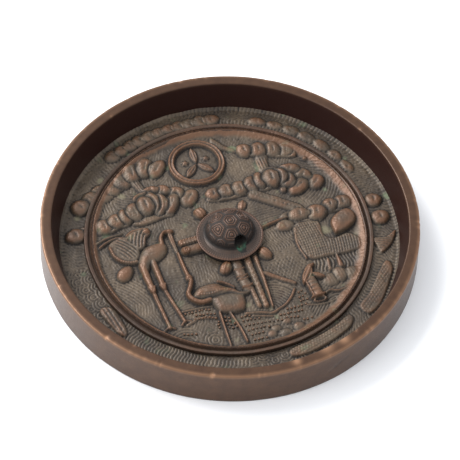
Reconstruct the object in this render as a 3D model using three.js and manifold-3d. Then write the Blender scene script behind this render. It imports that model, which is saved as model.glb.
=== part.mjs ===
// Cast bronze mirror of the Horai kind, lying on its polished face with its decorated back up.
// A heavy flat-topped rim stands round a sunken field, a double ridge parts the field in two,
// and a turtle in the middle is the knob, pierced for a cord. Millimetres, +Z up, +Y to the crest.
import * as THREE from 'three';
import { mergeVertices } from 'three/addons/utils/BufferGeometryUtils.js';
import Module from 'manifold-3d';

const wasm = await Module();
wasm.setup();

// Disc and rim
const DIAMETER = 115;
const HEIGHT = 12.5;
const RIM_TOP_DIAMETER = 114.4;
const RIM_WIDTH = 3.3;
const EDGE = 0.45;
const GROUND = 3.0;
const FIELD_RADIUS = 51.4;
const WALL_FOOT = 0.8;
const AROUND = 76;

// Double ridge between the outer and inner fields, cast a little off centre
const RING = { y: 0.4, outer: 44.1, inner: 40.5, rise: 1.4, groove: 0.55 };

// Turtle knob
const SHELL = { across: 20.4, deep: 19.8, lip: 1.55, thick: 0.5, shoulder: 2.0 };
const DOME = { x: 0.3, y: 1.0, across: 15, deep: 14.2, top: 7.65 };
const TUNNEL = { bore: 3.4, rise: 3.9, x: 0.9, turn: 0.13 };

// How deep each raised form is rooted in the ground
const ROOT = 0.6;

// Runs of rounded tufts and stones. Each gives the first and last one's place, how far the run bows
// sideways, how many, and, for the first and last, the breadth along the run and the depth across it.
const TUFT_RUNS = [
  // upper left pine
  { from: [-17, 33], to: [-28, 28.6], bow: 1, count: 4, broad: [4.8, 4], deep: [6.4, 4.4], rise: 1.6 },
  // upper left pine, border
  { from: [-35, 27.4], to: [-41.4, 23.2], bow: 0, count: 3, broad: [3.6, 3.8], deep: [3.8, 4], rise: 1.3 },
  // left pine
  { from: [-37, 13.8], to: [-25.4, 18], bow: 0, count: 5, broad: [3.8, 4.8], deep: [4.6, 6.6], rise: 1.4 },
  // left pine, crown
  { from: [-21.4, 18.6], to: [-13, 17.2], bow: -1.2, count: 3, broad: [6.6, 4.8], deep: [8, 7.2],
    rise: 1.9 },
  // left pine, upper row
  { from: [-18.6, 23.6], to: [-7.4, 18.8], bow: -1.2, count: 4, broad: [5.2, 5], deep: [4.2, 6.2],
    rise: 1.5 },
  // left pine, border
  { from: [-46, 14], to: [-42.8, 14.8], bow: 0, count: 2, broad: [4.6, 4], deep: [5, 4.4], rise: 1.5 },
  // top border row
  { from: [-25, 40.6], to: [8.8, 46], bow: -2.3, count: 12, broad: [3.8, 3.8], deep: [4, 4.2], rise: 1.3 },
  // upper right pine
  { from: [14.8, 31.4], to: [28.4, 27.2], bow: -0.6, count: 5, broad: [4.4, 3.6], deep: [5, 5], rise: 1.5 },
  // right pine
  { from: [0.6, 17.4], to: [13, 18.4], bow: 0, count: 4, broad: [4.6, 4.6], deep: [4.8, 6.4], rise: 1.5 },
  // right pine, crown
  { from: [18, 18.2], to: [26.6, 12.4], bow: -1.3, count: 3, broad: [6.6, 6.6], deep: [8, 6.6], rise: 1.9 },
  // right pine, upper row
  { from: [25, 20], to: [31.8, 12.4], bow: -1.6, count: 3, broad: [6, 5.2], deep: [4.4, 5], rise: 1.5 },
  // rock pine
  { from: [20.4, 2.4], to: [37.8, 2.4], bow: 0.4, count: 5, broad: [4.8, 5.4], deep: [5, 5.6], rise: 1.6 },
  // rock pine, border
  { from: [46.8, 0.8], to: [46.6, -6], bow: 0, count: 2, broad: [5, 5.4], deep: [4.6, 5], rise: 1.3 },
  // right border row
  { from: [22.6, 41.2], to: [43.8, 16], bow: -3.2, count: 7, broad: [4.4, 4.4], deep: [3, 3], rise: 0.7 },
  // shore rocks
  { from: [24.4, -22.8], to: [31, -23.2], bow: -0.7, count: 3, broad: [4.6, 4.8], deep: [5, 5], rise: 1.1 },
  // beach rocks
  { from: [2.4, -36.2], to: [8, -36.8], bow: 0.4, count: 3, broad: [3.8, 3.8], deep: [3.4, 3.4],
    rise: 0.9 },
];

// Single rounded forms: centre, length, breadth, turn of the length in degrees, rise
const MOUNDS = [
  // upper left pine, end tuft
  { at: [-12.5, 31.8], long: 5.8, broad: 4, turn: 20, rise: 1.6 },
  // rock in the pine
  { at: [35, -4], long: 8.4, broad: 6.4, turn: 35, rise: 2.0 },
  // pebble
  { at: [-34.5, -4.2], long: 6.2, broad: 3.8, turn: 40, rise: 1.3 },
  // tail of the wing
  { at: [-23.8, 9.1], long: 2.6, broad: 2.2, turn: 20, rise: 1.2 },
  // head of the near crane
  { at: [-17.1, 7], long: 3, broad: 1.9, turn: -15, rise: 1.2 },
  // head of the feeding crane
  { at: [-16.8, -11.4], long: 2.8, broad: 2.4, turn: 70, rise: 1.3 },
  // left fore foot
  { at: [-5.9, 11.2], long: 4.8, broad: 3.5, turn: 110, rise: 1.6 },
  // left hind foot
  { at: [-5.1, -10.9], long: 5, broad: 3.4, turn: 60, rise: 1.6 },
  // right hind foot
  { at: [8.4, -9.1], long: 4.8, broad: 3.2, turn: -60, rise: 1.4 },
  // right fore foot
  { at: [7.4, 10.4], long: 4.6, broad: 3, turn: 65, rise: 1.1 },
  // eye of the turtle
  { at: [-14.1, -1.5], long: 2, broad: 2, turn: 0, rise: 2.1 },
  // knot by the pine
  { at: [32.2, 22.4], long: 2.2, broad: 2, turn: 0, rise: 1 },
];

// Rounded ridges along a curve: its points, the width at each end, and the rise
const RIDGES = [
  // near crane, neck
  { path: [[-20.9, 2.4], [-20.5, 4.8], [-19.6, 6.6], [-18, 7.3]], width: [1.8, 1], rise: 1.2, steps: 5 },
  // long beaks
  { path: [[-17, 5.6], [-17, -1.8], [-16.5, -9.8]], width: [1.4, 1.3], rise: 0.9, steps: 3 },
  // near crane, left thigh
  { path: [[-28.4, -3], [-28.5, -8], [-28.2, -13]], width: [2.6, 1.7], rise: 1.4, steps: 3 },
  // near crane, right thigh
  { path: [[-25.2, -2], [-25.1, -8], [-24.9, -13]], width: [2.1, 1.5], rise: 1.3, steps: 3 },
  // near crane, left shank
  { path: [[-28.2, -12.4], [-27.3, -27]], width: [1.3, 1.1], rise: 1, steps: 2 },
  // near crane, right shank
  { path: [[-24.9, -12.4], [-22.4, -26]], width: [1.2, 1], rise: 1, steps: 2 },
  // wing edge
  { path: [[-36, 6.6], [-36.3, 3.4], [-34.4, 0.4], [-31.6, -1], [-29, -1.4]],
    width: [0.9, 1.2], rise: 0.8, steps: 7 },
  // feeding crane, neck
  { path: [[-16.3, -12.6], [-18.3, -15.6], [-18.5, -18.6], [-15.6, -20.7], [-11.6, -20.6]],
    width: [1.3, 1.8], rise: 1.3, steps: 9 },
  // feeding crane, left leg
  { path: [[-11.6, -25.4], [-12.2, -38]], width: [1.1, 0.8], rise: 0.9, steps: 2 },
  // feeding crane, right leg
  { path: [[-8.7, -26.6], [-7.3, -33], [-7, -38]], width: [1.1, 0.8], rise: 0.9, steps: 3 },
  // turtle, lower jaw
  { path: [[-8.6, -1.3], [-15.4, -1.5]], width: [3.2, 2.6], rise: 1.7, steps: 2 },
  // turtle, upper jaw
  { path: [[-8.6, 1.6], [-15.4, 1.5]], width: [2.6, 1.8], rise: 1.5, steps: 2 },
  // turtle, tail
  { path: [[9.4, 0.4], [19.2, 2.4]], width: [1.6, 0.8], rise: 1, steps: 2 },
  // knotted branch
  { path: [[-1, -8.6], [-1.5, -13], [-1.1, -20]], width: [2.8, 2.6], rise: 1, steps: 4 },
  // trunk, left stem
  { path: [[0.9, -8.6], [0.8, -28.2]], width: [1.9, 1.9], rise: 1.1, steps: 2 },
  // trunk, middle stem
  { path: [[2.8, -8.6], [2.7, -28.2]], width: [1.9, 1.9], rise: 1.2, steps: 2 },
  // trunk, right stem
  { path: [[4.8, -8.6], [4.6, -27.6]], width: [1.5, 1.2], rise: 1, steps: 2 },
  // twig
  { path: [[5.6, -15.6], [13.2, -22.4]], width: [1.4, 1.2], rise: 0.8, steps: 2 },
  // pine bough
  { path: [[12.2, 13.4], [17.2, 9.6], [23.6, 4.4]], width: [3.8, 3.6], rise: 1, steps: 3 },
  // left pine, lower edge
  { path: [[-25.4, 12.4], [-18, 13.4], [-13.4, 13.4]], width: [1.2, 2], rise: 1, steps: 4 },
  // cut stalk
  { path: [[18.2, -22.4], [18.6, -29]], width: [3.4, 3.2], rise: 1.6, steps: 1 },
  // stalk, left leaf
  { path: [[16.2, -23], [18.2, -21.8], [19.4, -19.4]], width: [1, 1], rise: 1.4, steps: 4 },
  // stalk, top leaf
  { path: [[17.7, -19], [19, -17.8], [20.2, -17.6]], width: [0.9, 0.9], rise: 1.4, steps: 3 },
  // stalk, right leaf
  { path: [[19.8, -20.6], [20.8, -21.8], [22.2, -22.4]], width: [0.9, 0.9], rise: 1.3, steps: 3 },
  // rock, upright edge
  { path: [[20, -3], [18.9, -9], [20.6, -15]], width: [1, 1], rise: 0.9, steps: 4 },
  // spire
  { path: [[28, -15.6], [28.3, -20.4]], width: [1, 2.4], rise: 1.2, steps: 2 },
  // shore line
  { path: [[-4.6, -27.8], [0, -29.3], [5, -29.9], [9.4, -28.4], [12.6, -25.2]],
    width: [0.9, 0.9], rise: 0.6, steps: 7 },
];

// Low flat-topped forms with a rounded edge: outline points, joined by a closed smooth curve
const SLABS = [
  // near crane, body
  { rise: 1.6, round: 0.8, steps: 18,
    outline: [[-20, 3.8], [-23.2, 4], [-26.8, 2.4], [-29.4, -1.4], [-28.8, -4.6], [-26, -2.8],
              [-22.4, -1.8], [-20, 0.6]] },
  // near crane, wing
  { rise: 0.8, round: 0.5, steps: 16,
    outline: [[-35.8, 6], [-31, 9], [-24.6, 9.6], [-24, 7.6], [-26.6, 3.4], [-30, -1], [-34.6, 1.4]] },
  // feeding crane, wing
  { rise: 1.6, round: 0.5, steps: 16,
    outline: [[-16.8, -17], [-13.6, -15], [-9.6, -14.9], [-5.8, -17], [-1, -21.2], [-6.4, -21],
              [-13.6, -19.4]] },
  // feeding crane, body
  { rise: 1.5, round: 1, steps: 16,
    outline: [[-12.6, -19.6], [-12.6, -23.2], [-10.8, -26.4], [-6.8, -27.2], [-3.4, -26],
              [-2.9, -22.6], [-4.6, -20]] },
  // rock face
  { rise: 0.7, round: 0.5, steps: 14,
    outline: [[20.6, -0.6], [27.2, -1], [28.2, -8.4], [36.4, -10], [37, -14.4], [28, -15.6],
              [20.8, -14.6], [19.6, -8]] },
  // island, lower
  { rise: 0.6, round: 0.4, steps: 14,
    outline: [[4, -44.4], [12, -42.6], [19.4, -40.2], [24.6, -37.6], [25.6, -39.6],
              [22.4, -42.8], [13, -46.4], [5, -47.2]] },
  // island, right
  { rise: 0.6, round: 0.4, steps: 14,
    outline: [[29, -35.6], [33.6, -31.6], [38, -26.4], [42.4, -22], [43.6, -25], [40.6, -30],
              [35.6, -36.4], [31, -39]] },
  // moored boat
  { rise: 0.8, round: 0.4, steps: 10,
    outline: [[41.4, -12.8], [45.4, -13.6], [49.4, -12], [46.6, -16.4], [42.4, -19], [41.6, -16]] },
];

// Crest: a double ring round a spray of three leaves and two florets
const CREST = { x: -0.9, y: 30.3, outer: 8.9, inner: 6.9, rise: 1.5, groove: 0.5, around: 28 };
const CREST_LEAF = { long: 6, broad: 1.9, start: 0.6, rise: 0.9 };
const CREST_LEAF_TURNS = [90, 225, 315];
const CREST_FLORET = { ring: 3.6, size: 1.5, rise: 0.7 };
const CREST_FLORET_TURNS = [20, 160];

// One shared point wherever faces meet, and no collapsed triangles
function welded(geometry) {
  geometry.deleteAttribute('normal');
  geometry.deleteAttribute('uv');
  const bare = mergeVertices(geometry, 1e-4);
  const corners = bare.index.array;
  const kept = [];
  for (let i = 0; i < corners.length; i += 3) {
    const [a, b, c] = corners.slice(i, i + 3);
    if (a !== b && b !== c && c !== a) kept.push(a, b, c);
  }
  bare.setIndex(kept);
  return bare;
}

function solid(geometry) {
  return new wasm.Manifold(new wasm.Mesh({
    numProp: 3,
    vertProperties: new Float32Array(geometry.attributes.position.array),
    triVerts: new Uint32Array(geometry.index.array),
  }));
}

function turned(profile, segments) {
  const points = profile.map(([radius, height]) => new THREE.Vector2(radius, height));
  return welded(new THREE.LatheGeometry(points, segments)).rotateX(Math.PI / 2);
}

function ball(sides, rings) {
  return welded(new THREE.SphereGeometry(1, sides, rings)).rotateX(Math.PI / 2);
}

// Disc and rim in one profile, from the middle of the underside to the middle of the field
function disc() {
  const base = DIAMETER / 2;
  const top = RIM_TOP_DIAMETER / 2;
  return turned([
    [0, 0],
    [base - EDGE, 0],
    [base, EDGE],
    [top, HEIGHT - EDGE],
    [top - EDGE, HEIGHT],
    [top - RIM_WIDTH, HEIGHT],
    [FIELD_RADIUS + 0.3, GROUND + WALL_FOOT],
    [FIELD_RADIUS, GROUND],
    [0, GROUND],
  ], AROUND);
}

function ring() {
  const { y, outer, inner, rise, groove } = RING;
  const top = GROUND + rise;
  return turned([
    [inner - ROOT / 2, GROUND - ROOT],
    [outer, GROUND - ROOT],
    [outer - 0.2, top - 0.1],
    [outer - 1, top],
    [(outer + inner) / 2, top - groove],
    [inner + 1.1, top],
    [inner - ROOT / 2, GROUND - ROOT],
  ], AROUND).translate(0, y, 0);
}

// Half-sunk dome with its length turned by an angle in degrees
function mound({ at, long, broad, turn, rise }, sides = rise > 1.35 ? 7 : 6) {
  const dome = ball(sides, 6);
  dome.scale(long / 2, broad / 2, rise + 0.15);
  dome.rotateZ(THREE.MathUtils.degToRad(turn));
  return dome.translate(at[0], at[1], GROUND - 0.15);
}

// Tufts set along a bowed run, each turned across it
function tufts({ from, to, bow, count, broad, deep, rise }) {
  const start = new THREE.Vector2(...from);
  const run = new THREE.Vector2(...to).sub(start);
  const side = new THREE.Vector2(run.y, -run.x).normalize();
  const heading = THREE.MathUtils.radToDeg(run.angle());
  return Array.from({ length: count }, (_, i) => {
    const along = i / (count - 1);
    const lift = 4 * along * (1 - along) * bow;
    const centre = start.clone().addScaledVector(run, along).addScaledVector(side, lift);
    const long = THREE.MathUtils.lerp(broad[0], broad[1], along);
    const wide = THREE.MathUtils.lerp(deep[0], deep[1], along);
    const lean = -THREE.MathUtils.radToDeg(Math.atan2(4 * (1 - 2 * along) * bow, run.length()));
    return mound({ at: [centre.x, centre.y], long, broad: wide, turn: heading + lean, rise });
  });
}

// Rounded ridge: a cylinder laid along the curve, as wide and high as asked, its lower half rooted
function ridge({ path, width, rise, steps }) {
  const curve = new THREE.CatmullRomCurve3(path.map(([x, y]) => new THREE.Vector3(x, y, GROUND - 0.1)));
  const sides = Math.max(...width) > 1.5 ? 8 : 6;
  const bar = welded(new THREE.CylinderGeometry(1, 1, 1, sides, steps));
  const places = bar.attributes.position;
  for (let i = 0; i < places.count; i += 1) {
    const along = THREE.MathUtils.clamp(places.getY(i) + 0.5, 0, 1);
    const centre = curve.getPoint(along);
    const heading = curve.getTangent(along);
    const half = THREE.MathUtils.lerp(width[0], width[1], along) / 2;
    const across = places.getX(i) * half;
    const up = places.getZ(i) * (rise + 0.1);
    places.setXYZ(i, centre.x + heading.y * across, centre.y - heading.x * across, centre.z + up);
  }
  return bar;
}

// Flat-topped form with a rounded edge, rooted in the ground
function slab({ outline, rise, round, steps }) {
  const curve = new THREE.CatmullRomCurve3(outline.map(([x, y]) => new THREE.Vector3(x, y, 0)), true);
  const points = curve.getSpacedPoints(steps).slice(0, -1).map(({ x, y }) => new THREE.Vector2(x, y));
  const form = welded(new THREE.ExtrudeGeometry(new THREE.Shape(points), {
    depth: ROOT,
    bevelSize: round,
    bevelOffset: -round,
    bevelThickness: rise,
    bevelSegments: 2,
  }));
  return form.translate(0, 0, GROUND - ROOT);
}

function crest() {
  const { x, y, outer, inner, rise, groove, around } = CREST;
  const middle = (outer + inner) / 2;
  const top = GROUND + rise;
  const ring = turned([
    [inner, GROUND - ROOT],
    [outer, GROUND - ROOT],
    [outer, top - 0.2],
    [outer - 0.4, top],
    [middle, top - groove],
    [inner + 0.4, top],
    [inner, GROUND - ROOT],
  ], around).translate(x, y, 0);
  const leaves = CREST_LEAF_TURNS.map((turn) => {
    const reach = CREST_LEAF.start + CREST_LEAF.long / 2;
    const angle = THREE.MathUtils.degToRad(turn);
    const at = [x + reach * Math.cos(angle), y + reach * Math.sin(angle)];
    return mound({ at, long: CREST_LEAF.long, broad: CREST_LEAF.broad, turn, rise: CREST_LEAF.rise });
  });
  const florets = CREST_FLORET_TURNS.map((turn) => {
    const angle = THREE.MathUtils.degToRad(turn);
    const at = [x + CREST_FLORET.ring * Math.cos(angle), y + CREST_FLORET.ring * Math.sin(angle)];
    return mound({ at, long: CREST_FLORET.size, broad: CREST_FLORET.size, turn, rise: CREST_FLORET.rise });
  });
  return [ring, ...leaves, ...florets];
}

// Lipped shell of the turtle, an oval disc that turns up at its edge
function shell() {
  const lip = GROUND + SHELL.lip;
  return turned([
    [0, GROUND - ROOT],
    [0.95, GROUND - ROOT],
    [1, lip],
    [0.97, lip + SHELL.thick],
    [0.86, lip + SHELL.thick / 2],
    [0.7, GROUND + SHELL.shoulder + 0.4],
    [0, GROUND + SHELL.shoulder + 0.4],
  ], 32).scale(SHELL.across / 2, SHELL.deep / 2, 1);
}

// Upper half of an ellipsoid, rooted in the shell
function dome() {
  const rings = 7;
  const foot = GROUND + SHELL.shoulder;
  const rise = DOME.top - SHELL.shoulder;
  const curve = Array.from({ length: rings + 1 }, (_, i) => {
    const angle = (i / rings) * Math.PI / 2;
    return [Math.cos(angle), foot + rise * Math.sin(angle)];
  });
  curve[rings][0] = 0;
  return turned([[0, GROUND], [1, GROUND], ...curve], 24)
    .scale(DOME.across / 2, DOME.deep / 2, 1)
    .translate(DOME.x, DOME.y, 0);
}

// Cord hole right through the dome, just above the shell
function tunnel() {
  const hole = welded(new THREE.CylinderGeometry(TUNNEL.bore / 2, TUNNEL.bore / 2, SHELL.deep, 12));
  hole.rotateZ(TUNNEL.turn);
  return hole.translate(TUNNEL.x, 0, GROUND + TUNNEL.rise);
}

function mirror() {
  const raised = [
    ...TUFT_RUNS.flatMap(tufts),
    ...MOUNDS.map((form) => mound(form)),
    ...RIDGES.map(ridge),
    ...SLABS.map(slab),
    ring(),
    ...crest(),
    shell(),
    dome(),
  ];
  const whole = raised.reduce((body, form) => body.add(solid(form)), solid(disc()));
  const cast = whole.subtract(solid(tunnel())).getMesh();
  const geometry = new THREE.BufferGeometry();
  geometry.setAttribute('position', new THREE.BufferAttribute(cast.vertProperties, 3));
  geometry.setIndex(new THREE.BufferAttribute(cast.triVerts, 1));
  geometry.computeVertexNormals();
  const bronze = new THREE.MeshStandardMaterial({ color: '#6b5140', roughness: 0.45, metalness: 0.9 });
  const mesh = new THREE.Mesh(geometry, bronze);
  mesh.name = 'mirror';
  return mesh;
}

const part = new THREE.Group();
part.add(mirror());

export default part;
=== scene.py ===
import math

import bmesh
import bpy
import numpy as np
from mathutils import Matrix, Vector


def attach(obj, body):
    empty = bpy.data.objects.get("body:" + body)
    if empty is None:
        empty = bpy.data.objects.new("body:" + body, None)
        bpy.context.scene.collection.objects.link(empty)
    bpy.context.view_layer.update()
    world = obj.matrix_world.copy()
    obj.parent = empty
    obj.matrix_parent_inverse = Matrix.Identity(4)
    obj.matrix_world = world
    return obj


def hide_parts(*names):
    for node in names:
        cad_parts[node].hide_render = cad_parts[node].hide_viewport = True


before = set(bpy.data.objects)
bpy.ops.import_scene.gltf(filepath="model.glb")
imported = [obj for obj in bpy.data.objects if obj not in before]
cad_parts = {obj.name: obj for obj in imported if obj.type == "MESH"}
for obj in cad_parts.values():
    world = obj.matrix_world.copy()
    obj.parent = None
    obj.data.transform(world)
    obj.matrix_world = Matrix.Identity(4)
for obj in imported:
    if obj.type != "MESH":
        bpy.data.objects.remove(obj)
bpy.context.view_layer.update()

mm = 0.001
random = np.random.default_rng(7)
print("frame loaded")


def placed(name, data):
    piece = bpy.data.objects.new(name, data)
    bpy.context.scene.collection.objects.link(piece)
    return piece


# Camera, at the angle of a viewer who leans over the table

camera = {
    "place": (-0.1477, -0.3930, 0.5554),
    "looksAt": (0.0, 0.0, 0.0125),   # middle of the rim's top
    "down": 0.00337,                 # the middle of the view lies this far below it, metres
    "left": 0.00018,
    "roll": 2.92,
    "lens": 178.8,
    "sensor": 36.0,
}


def placeCamera(settings):
    place = Vector(settings["place"])
    forward = (Vector(settings["looksAt"]) - place).normalized()
    level = forward.cross(Vector((0, 0, 1))).normalized()
    upright = level.cross(forward)
    roll = math.radians(settings["roll"])
    right = level * math.cos(roll) + upright * math.sin(roll)
    up = upright * math.cos(roll) - level * math.sin(roll)
    aim = Vector(settings["looksAt"]) - up * settings["down"] - right * settings["left"]
    forward = (aim - place).normalized()
    right = forward.cross(up).normalized()
    up = right.cross(forward)
    data = bpy.data.cameras.new("camera")
    data.lens = settings["lens"]
    data.sensor_width = settings["sensor"]
    data.clip_start = 0.01
    data.clip_end = 20
    viewer = placed("camera", data)
    viewer.matrix_world = Matrix((
        (right.x, up.x, -forward.x, place.x),
        (right.y, up.y, -forward.y, place.y),
        (right.z, up.z, -forward.z, place.z),
        (0, 0, 0, 1),
    ))
    bpy.context.scene.camera = viewer


placeCamera(camera)


# Sizes shared by the pieces, in millimetres

mirror = {
    "diameter": 115.0,
    "rimTop": 114.4,
    "height": 12.5,
    "rimWidth": 3.3,
    "ground": 3.0,      # height of the sunken back
    "field": 51.4,      # radius of the sunken back
    "bed": 2.6,         # the disc's own top, just under the carved sheets
}
ridgeRing = {"y": 0.4, "outer": 44.1, "inner": 40.5, "rise": 1.4, "groove": 0.55}


# The carved back, as heights above the ground on one fine square grid

cell = 0.11
reach = 52.4
count = int(round(2 * reach / cell)) + 1
ruler = np.linspace(-reach, reach, count)
gridX, gridY = np.meshgrid(ruler, ruler)
forms = np.zeros((count, count))     # raised forms
marks = np.zeros((count, count))     # lines drawn on the forms
ground = np.zeros((count, count))    # lines drawn between them


def window(points, margin):
    points = np.atleast_2d(np.array(points, float))
    low = np.clip(((points.min(0) - margin + reach) / cell).astype(int), 0, count - 1)
    high = np.clip(((points.max(0) + margin + reach) / cell).astype(int) + 2, 1, count)
    area = (slice(low[1], high[1]), slice(low[0], high[0]))
    return area, gridX[area], gridY[area]


def smooth(value):
    value = np.clip(value, 0, 1)
    return value * value * (3 - 2 * value)


# Curve through the points
def curve(points, steps=8, closed=False):
    points = np.array(points, float)
    if closed:
        ends = np.vstack([points[-1], points, points[:2]])
    else:
        ends = np.vstack([2 * points[0] - points[1], points, 2 * points[-1] - points[-2]])
    t = (np.arange(steps) / steps)[:, None]
    spans = []
    for a, b, c, d in zip(ends, ends[1:], ends[2:], ends[3:]):
        spans.append(0.5 * (2 * b + (c - a) * t + (2 * a - 5 * b + 4 * c - d) * t ** 2
                            + (3 * b - a - 3 * c + d) * t ** 3))
    line = np.vstack(spans)
    return np.vstack([line, line[:1]]) if closed else np.vstack([line, ends[-2:-1]])


# Distance to a line, and how far along it that is, from 0 to 1
def nearest(line, x, y):
    spans = np.hypot(*np.diff(line, axis=0).T)
    marksAt = np.concatenate([[0], np.cumsum(spans)]) / max(spans.sum(), 1e-9)
    away = np.full(x.shape, 1e9)
    along = np.zeros(x.shape)
    for a, b, s, e in zip(line, line[1:], marksAt, marksAt[1:]):
        run = b - a
        t = np.clip(((x - a[0]) * run[0] + (y - a[1]) * run[1]) / max(run @ run, 1e-12), 0, 1)
        d = np.hypot(x - a[0] - t * run[0], y - a[1] - t * run[1])
        closer = d < away
        away = np.where(closer, d, away)
        along = np.where(closer, s + t * (e - s), along)
    return away, along


# Distance inside an outline, negative outside it
def within(outline, x, y):
    line = np.vstack([outline, outline[:1]]) if np.any(outline[0] != outline[-1]) else outline
    away = nearest(line, x, y)[0]
    inside = np.zeros(x.shape, bool)
    for a, b in zip(line, line[1:]):
        crosses = (a[1] > y) != (b[1] > y)
        at = (b[0] - a[0]) * (y - a[1]) / (b[1] - a[1] if b[1] != a[1] else 1e-9) + a[0]
        inside ^= crosses & (x < at)
    return np.where(inside, away, -away)


def lift(area, heights):
    forms[area] = np.maximum(forms[area], heights)


# Puffed lobe with a steep edge, a moat where it lies on others, and a low dent across its top
def raiseLobe(at, wide, deep, turn, rise, dent=0.14, swell=3.4, moat=0.4):
    area, x, y = window([at], max(wide, deep) / 2 + 0.8)
    c, s = math.cos(math.radians(turn)), math.sin(math.radians(turn))
    u = ((x - at[0]) * c + (y - at[1]) * s) / (wide / 2)
    v = ((y - at[1]) * c - (x - at[0]) * s) / (deep / 2)
    bearing = np.arctan2(v, u)
    away = np.hypot(u, v) * (1 + 0.03 * np.cos(3 * bearing + at[0]) + 0.012 * np.cos(7 * bearing - at[1]))
    heights = rise * np.clip(1 - away ** swell, 0, None) ** 0.6
    heights *= 1 - dent * np.exp(-((u - 0.05) / 0.15) ** 2) * smooth((0.62 - np.abs(v)) / 0.4)
    under = forms[area] * (1 - moat * np.exp(-((away - 1.0) / 0.13) ** 2))
    forms[area] = np.maximum(under, heights)


def raiseRidge(path, width, rise, split=0.0, rings=0.0, swell=2.8):
    line = curve(path) if len(path) > 2 else np.array(path, float)
    area, x, y = window(line, max(width) / 2 + 0.5)
    away, along = nearest(line, x, y)
    half = (width[0] + (width[1] - width[0]) * along) / 2
    q = away / half
    heights = rise * np.clip(1 - q ** swell, 0, None) ** 0.6
    if split:
        heights -= split * np.exp(-(q / 0.22) ** 2) * (q < 1)
    if rings:
        length = np.hypot(*np.diff(line, axis=0).T).sum()
        heights -= 0.22 * rise * (0.5 + 0.5 * np.cos(2 * np.pi * along * length / rings)) ** 3 * (q < 1)
    lift(area, np.clip(heights, 0, None))


def raiseSlab(outline, rise, rounding, crown):
    line = curve(outline, 6, closed=True)
    area, x, y = window(line, 0.5)
    inner = within(line, x, y)
    edge = np.clip(inner / rounding, 0, 1)
    heights = rise * np.sqrt(np.clip(1 - (1 - edge) ** 2, 0, None)) * (inner > 0)
    heights += crown * smooth(inner / (inner.max() + 1e-6)) * (inner > 0)
    lift(area, heights)


# Patterns: each gives the height of a drawing at the places x and y

# Lines at one angle, in degrees, bent by a share of the distance across
def lines(angle, pitch, depth, bend=0.0, at=(0, 0)):
    c, s = math.cos(math.radians(angle)), math.sin(math.radians(angle))

    def pattern(x, y):
        u = (x - at[0]) * c + (y - at[1]) * s
        v = (y - at[1]) * c - (x - at[0]) * s
        return depth * np.cos(2 * np.pi * (u + bend * v * v) / pitch)

    return pattern


def arcs(at, pitch, depth):
    return lambda x, y: depth * np.cos(2 * np.pi * np.hypot(x - at[0], y - at[1]) / pitch)


# Place counted in columns and rows of a turned grid
def gridPlace(x, y, pitch, turn):
    c, s = math.cos(math.radians(turn)), math.sin(math.radians(turn))
    return (x * c + y * s) / pitch[0], (y * c - x * s) / pitch[1]


# Overlapping scales
def scales(pitch, depth, turn=0.0):
    def pattern(x, y):
        u, v = gridPlace(x, y, pitch, turn)
        heights = np.full(x.shape, -depth)
        for step in (1, 0, -1):
            row = np.floor(v) + step
            across = (u + 0.5 * (row % 2)) % 1 - 0.5
            up = (v - row) * 0.75
            near = np.hypot(across, up) / 0.62
            heights = np.where((near < 1) & (up > -0.1), depth * (2 * near ** 2 - 1), heights)
        return heights

    return pattern


def dots(pitch, depth, turn=0.0):
    def pattern(x, y):
        u, v = gridPlace(x, y, (pitch, pitch * 0.87), turn)
        row = np.floor(v)
        across = (u + 0.5 * (row % 2)) % 1 - 0.5
        up = v - row - 0.5
        return depth * (2 * np.exp(-(across ** 2 + up ** 2 * 0.76) / 0.07) - 0.6)

    return pattern


# Draws a pattern on one layer inside a closed curve, fading in over a soft edge
def texture(layer, outline, pattern, soft=0.5):
    line = curve(outline, 6, closed=True)
    area, x, y = window(line, 0.3)
    mask = smooth(within(line, x, y) / soft)
    layer[area] = layer[area] * (1 - mask) + pattern(x, y) * mask


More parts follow.
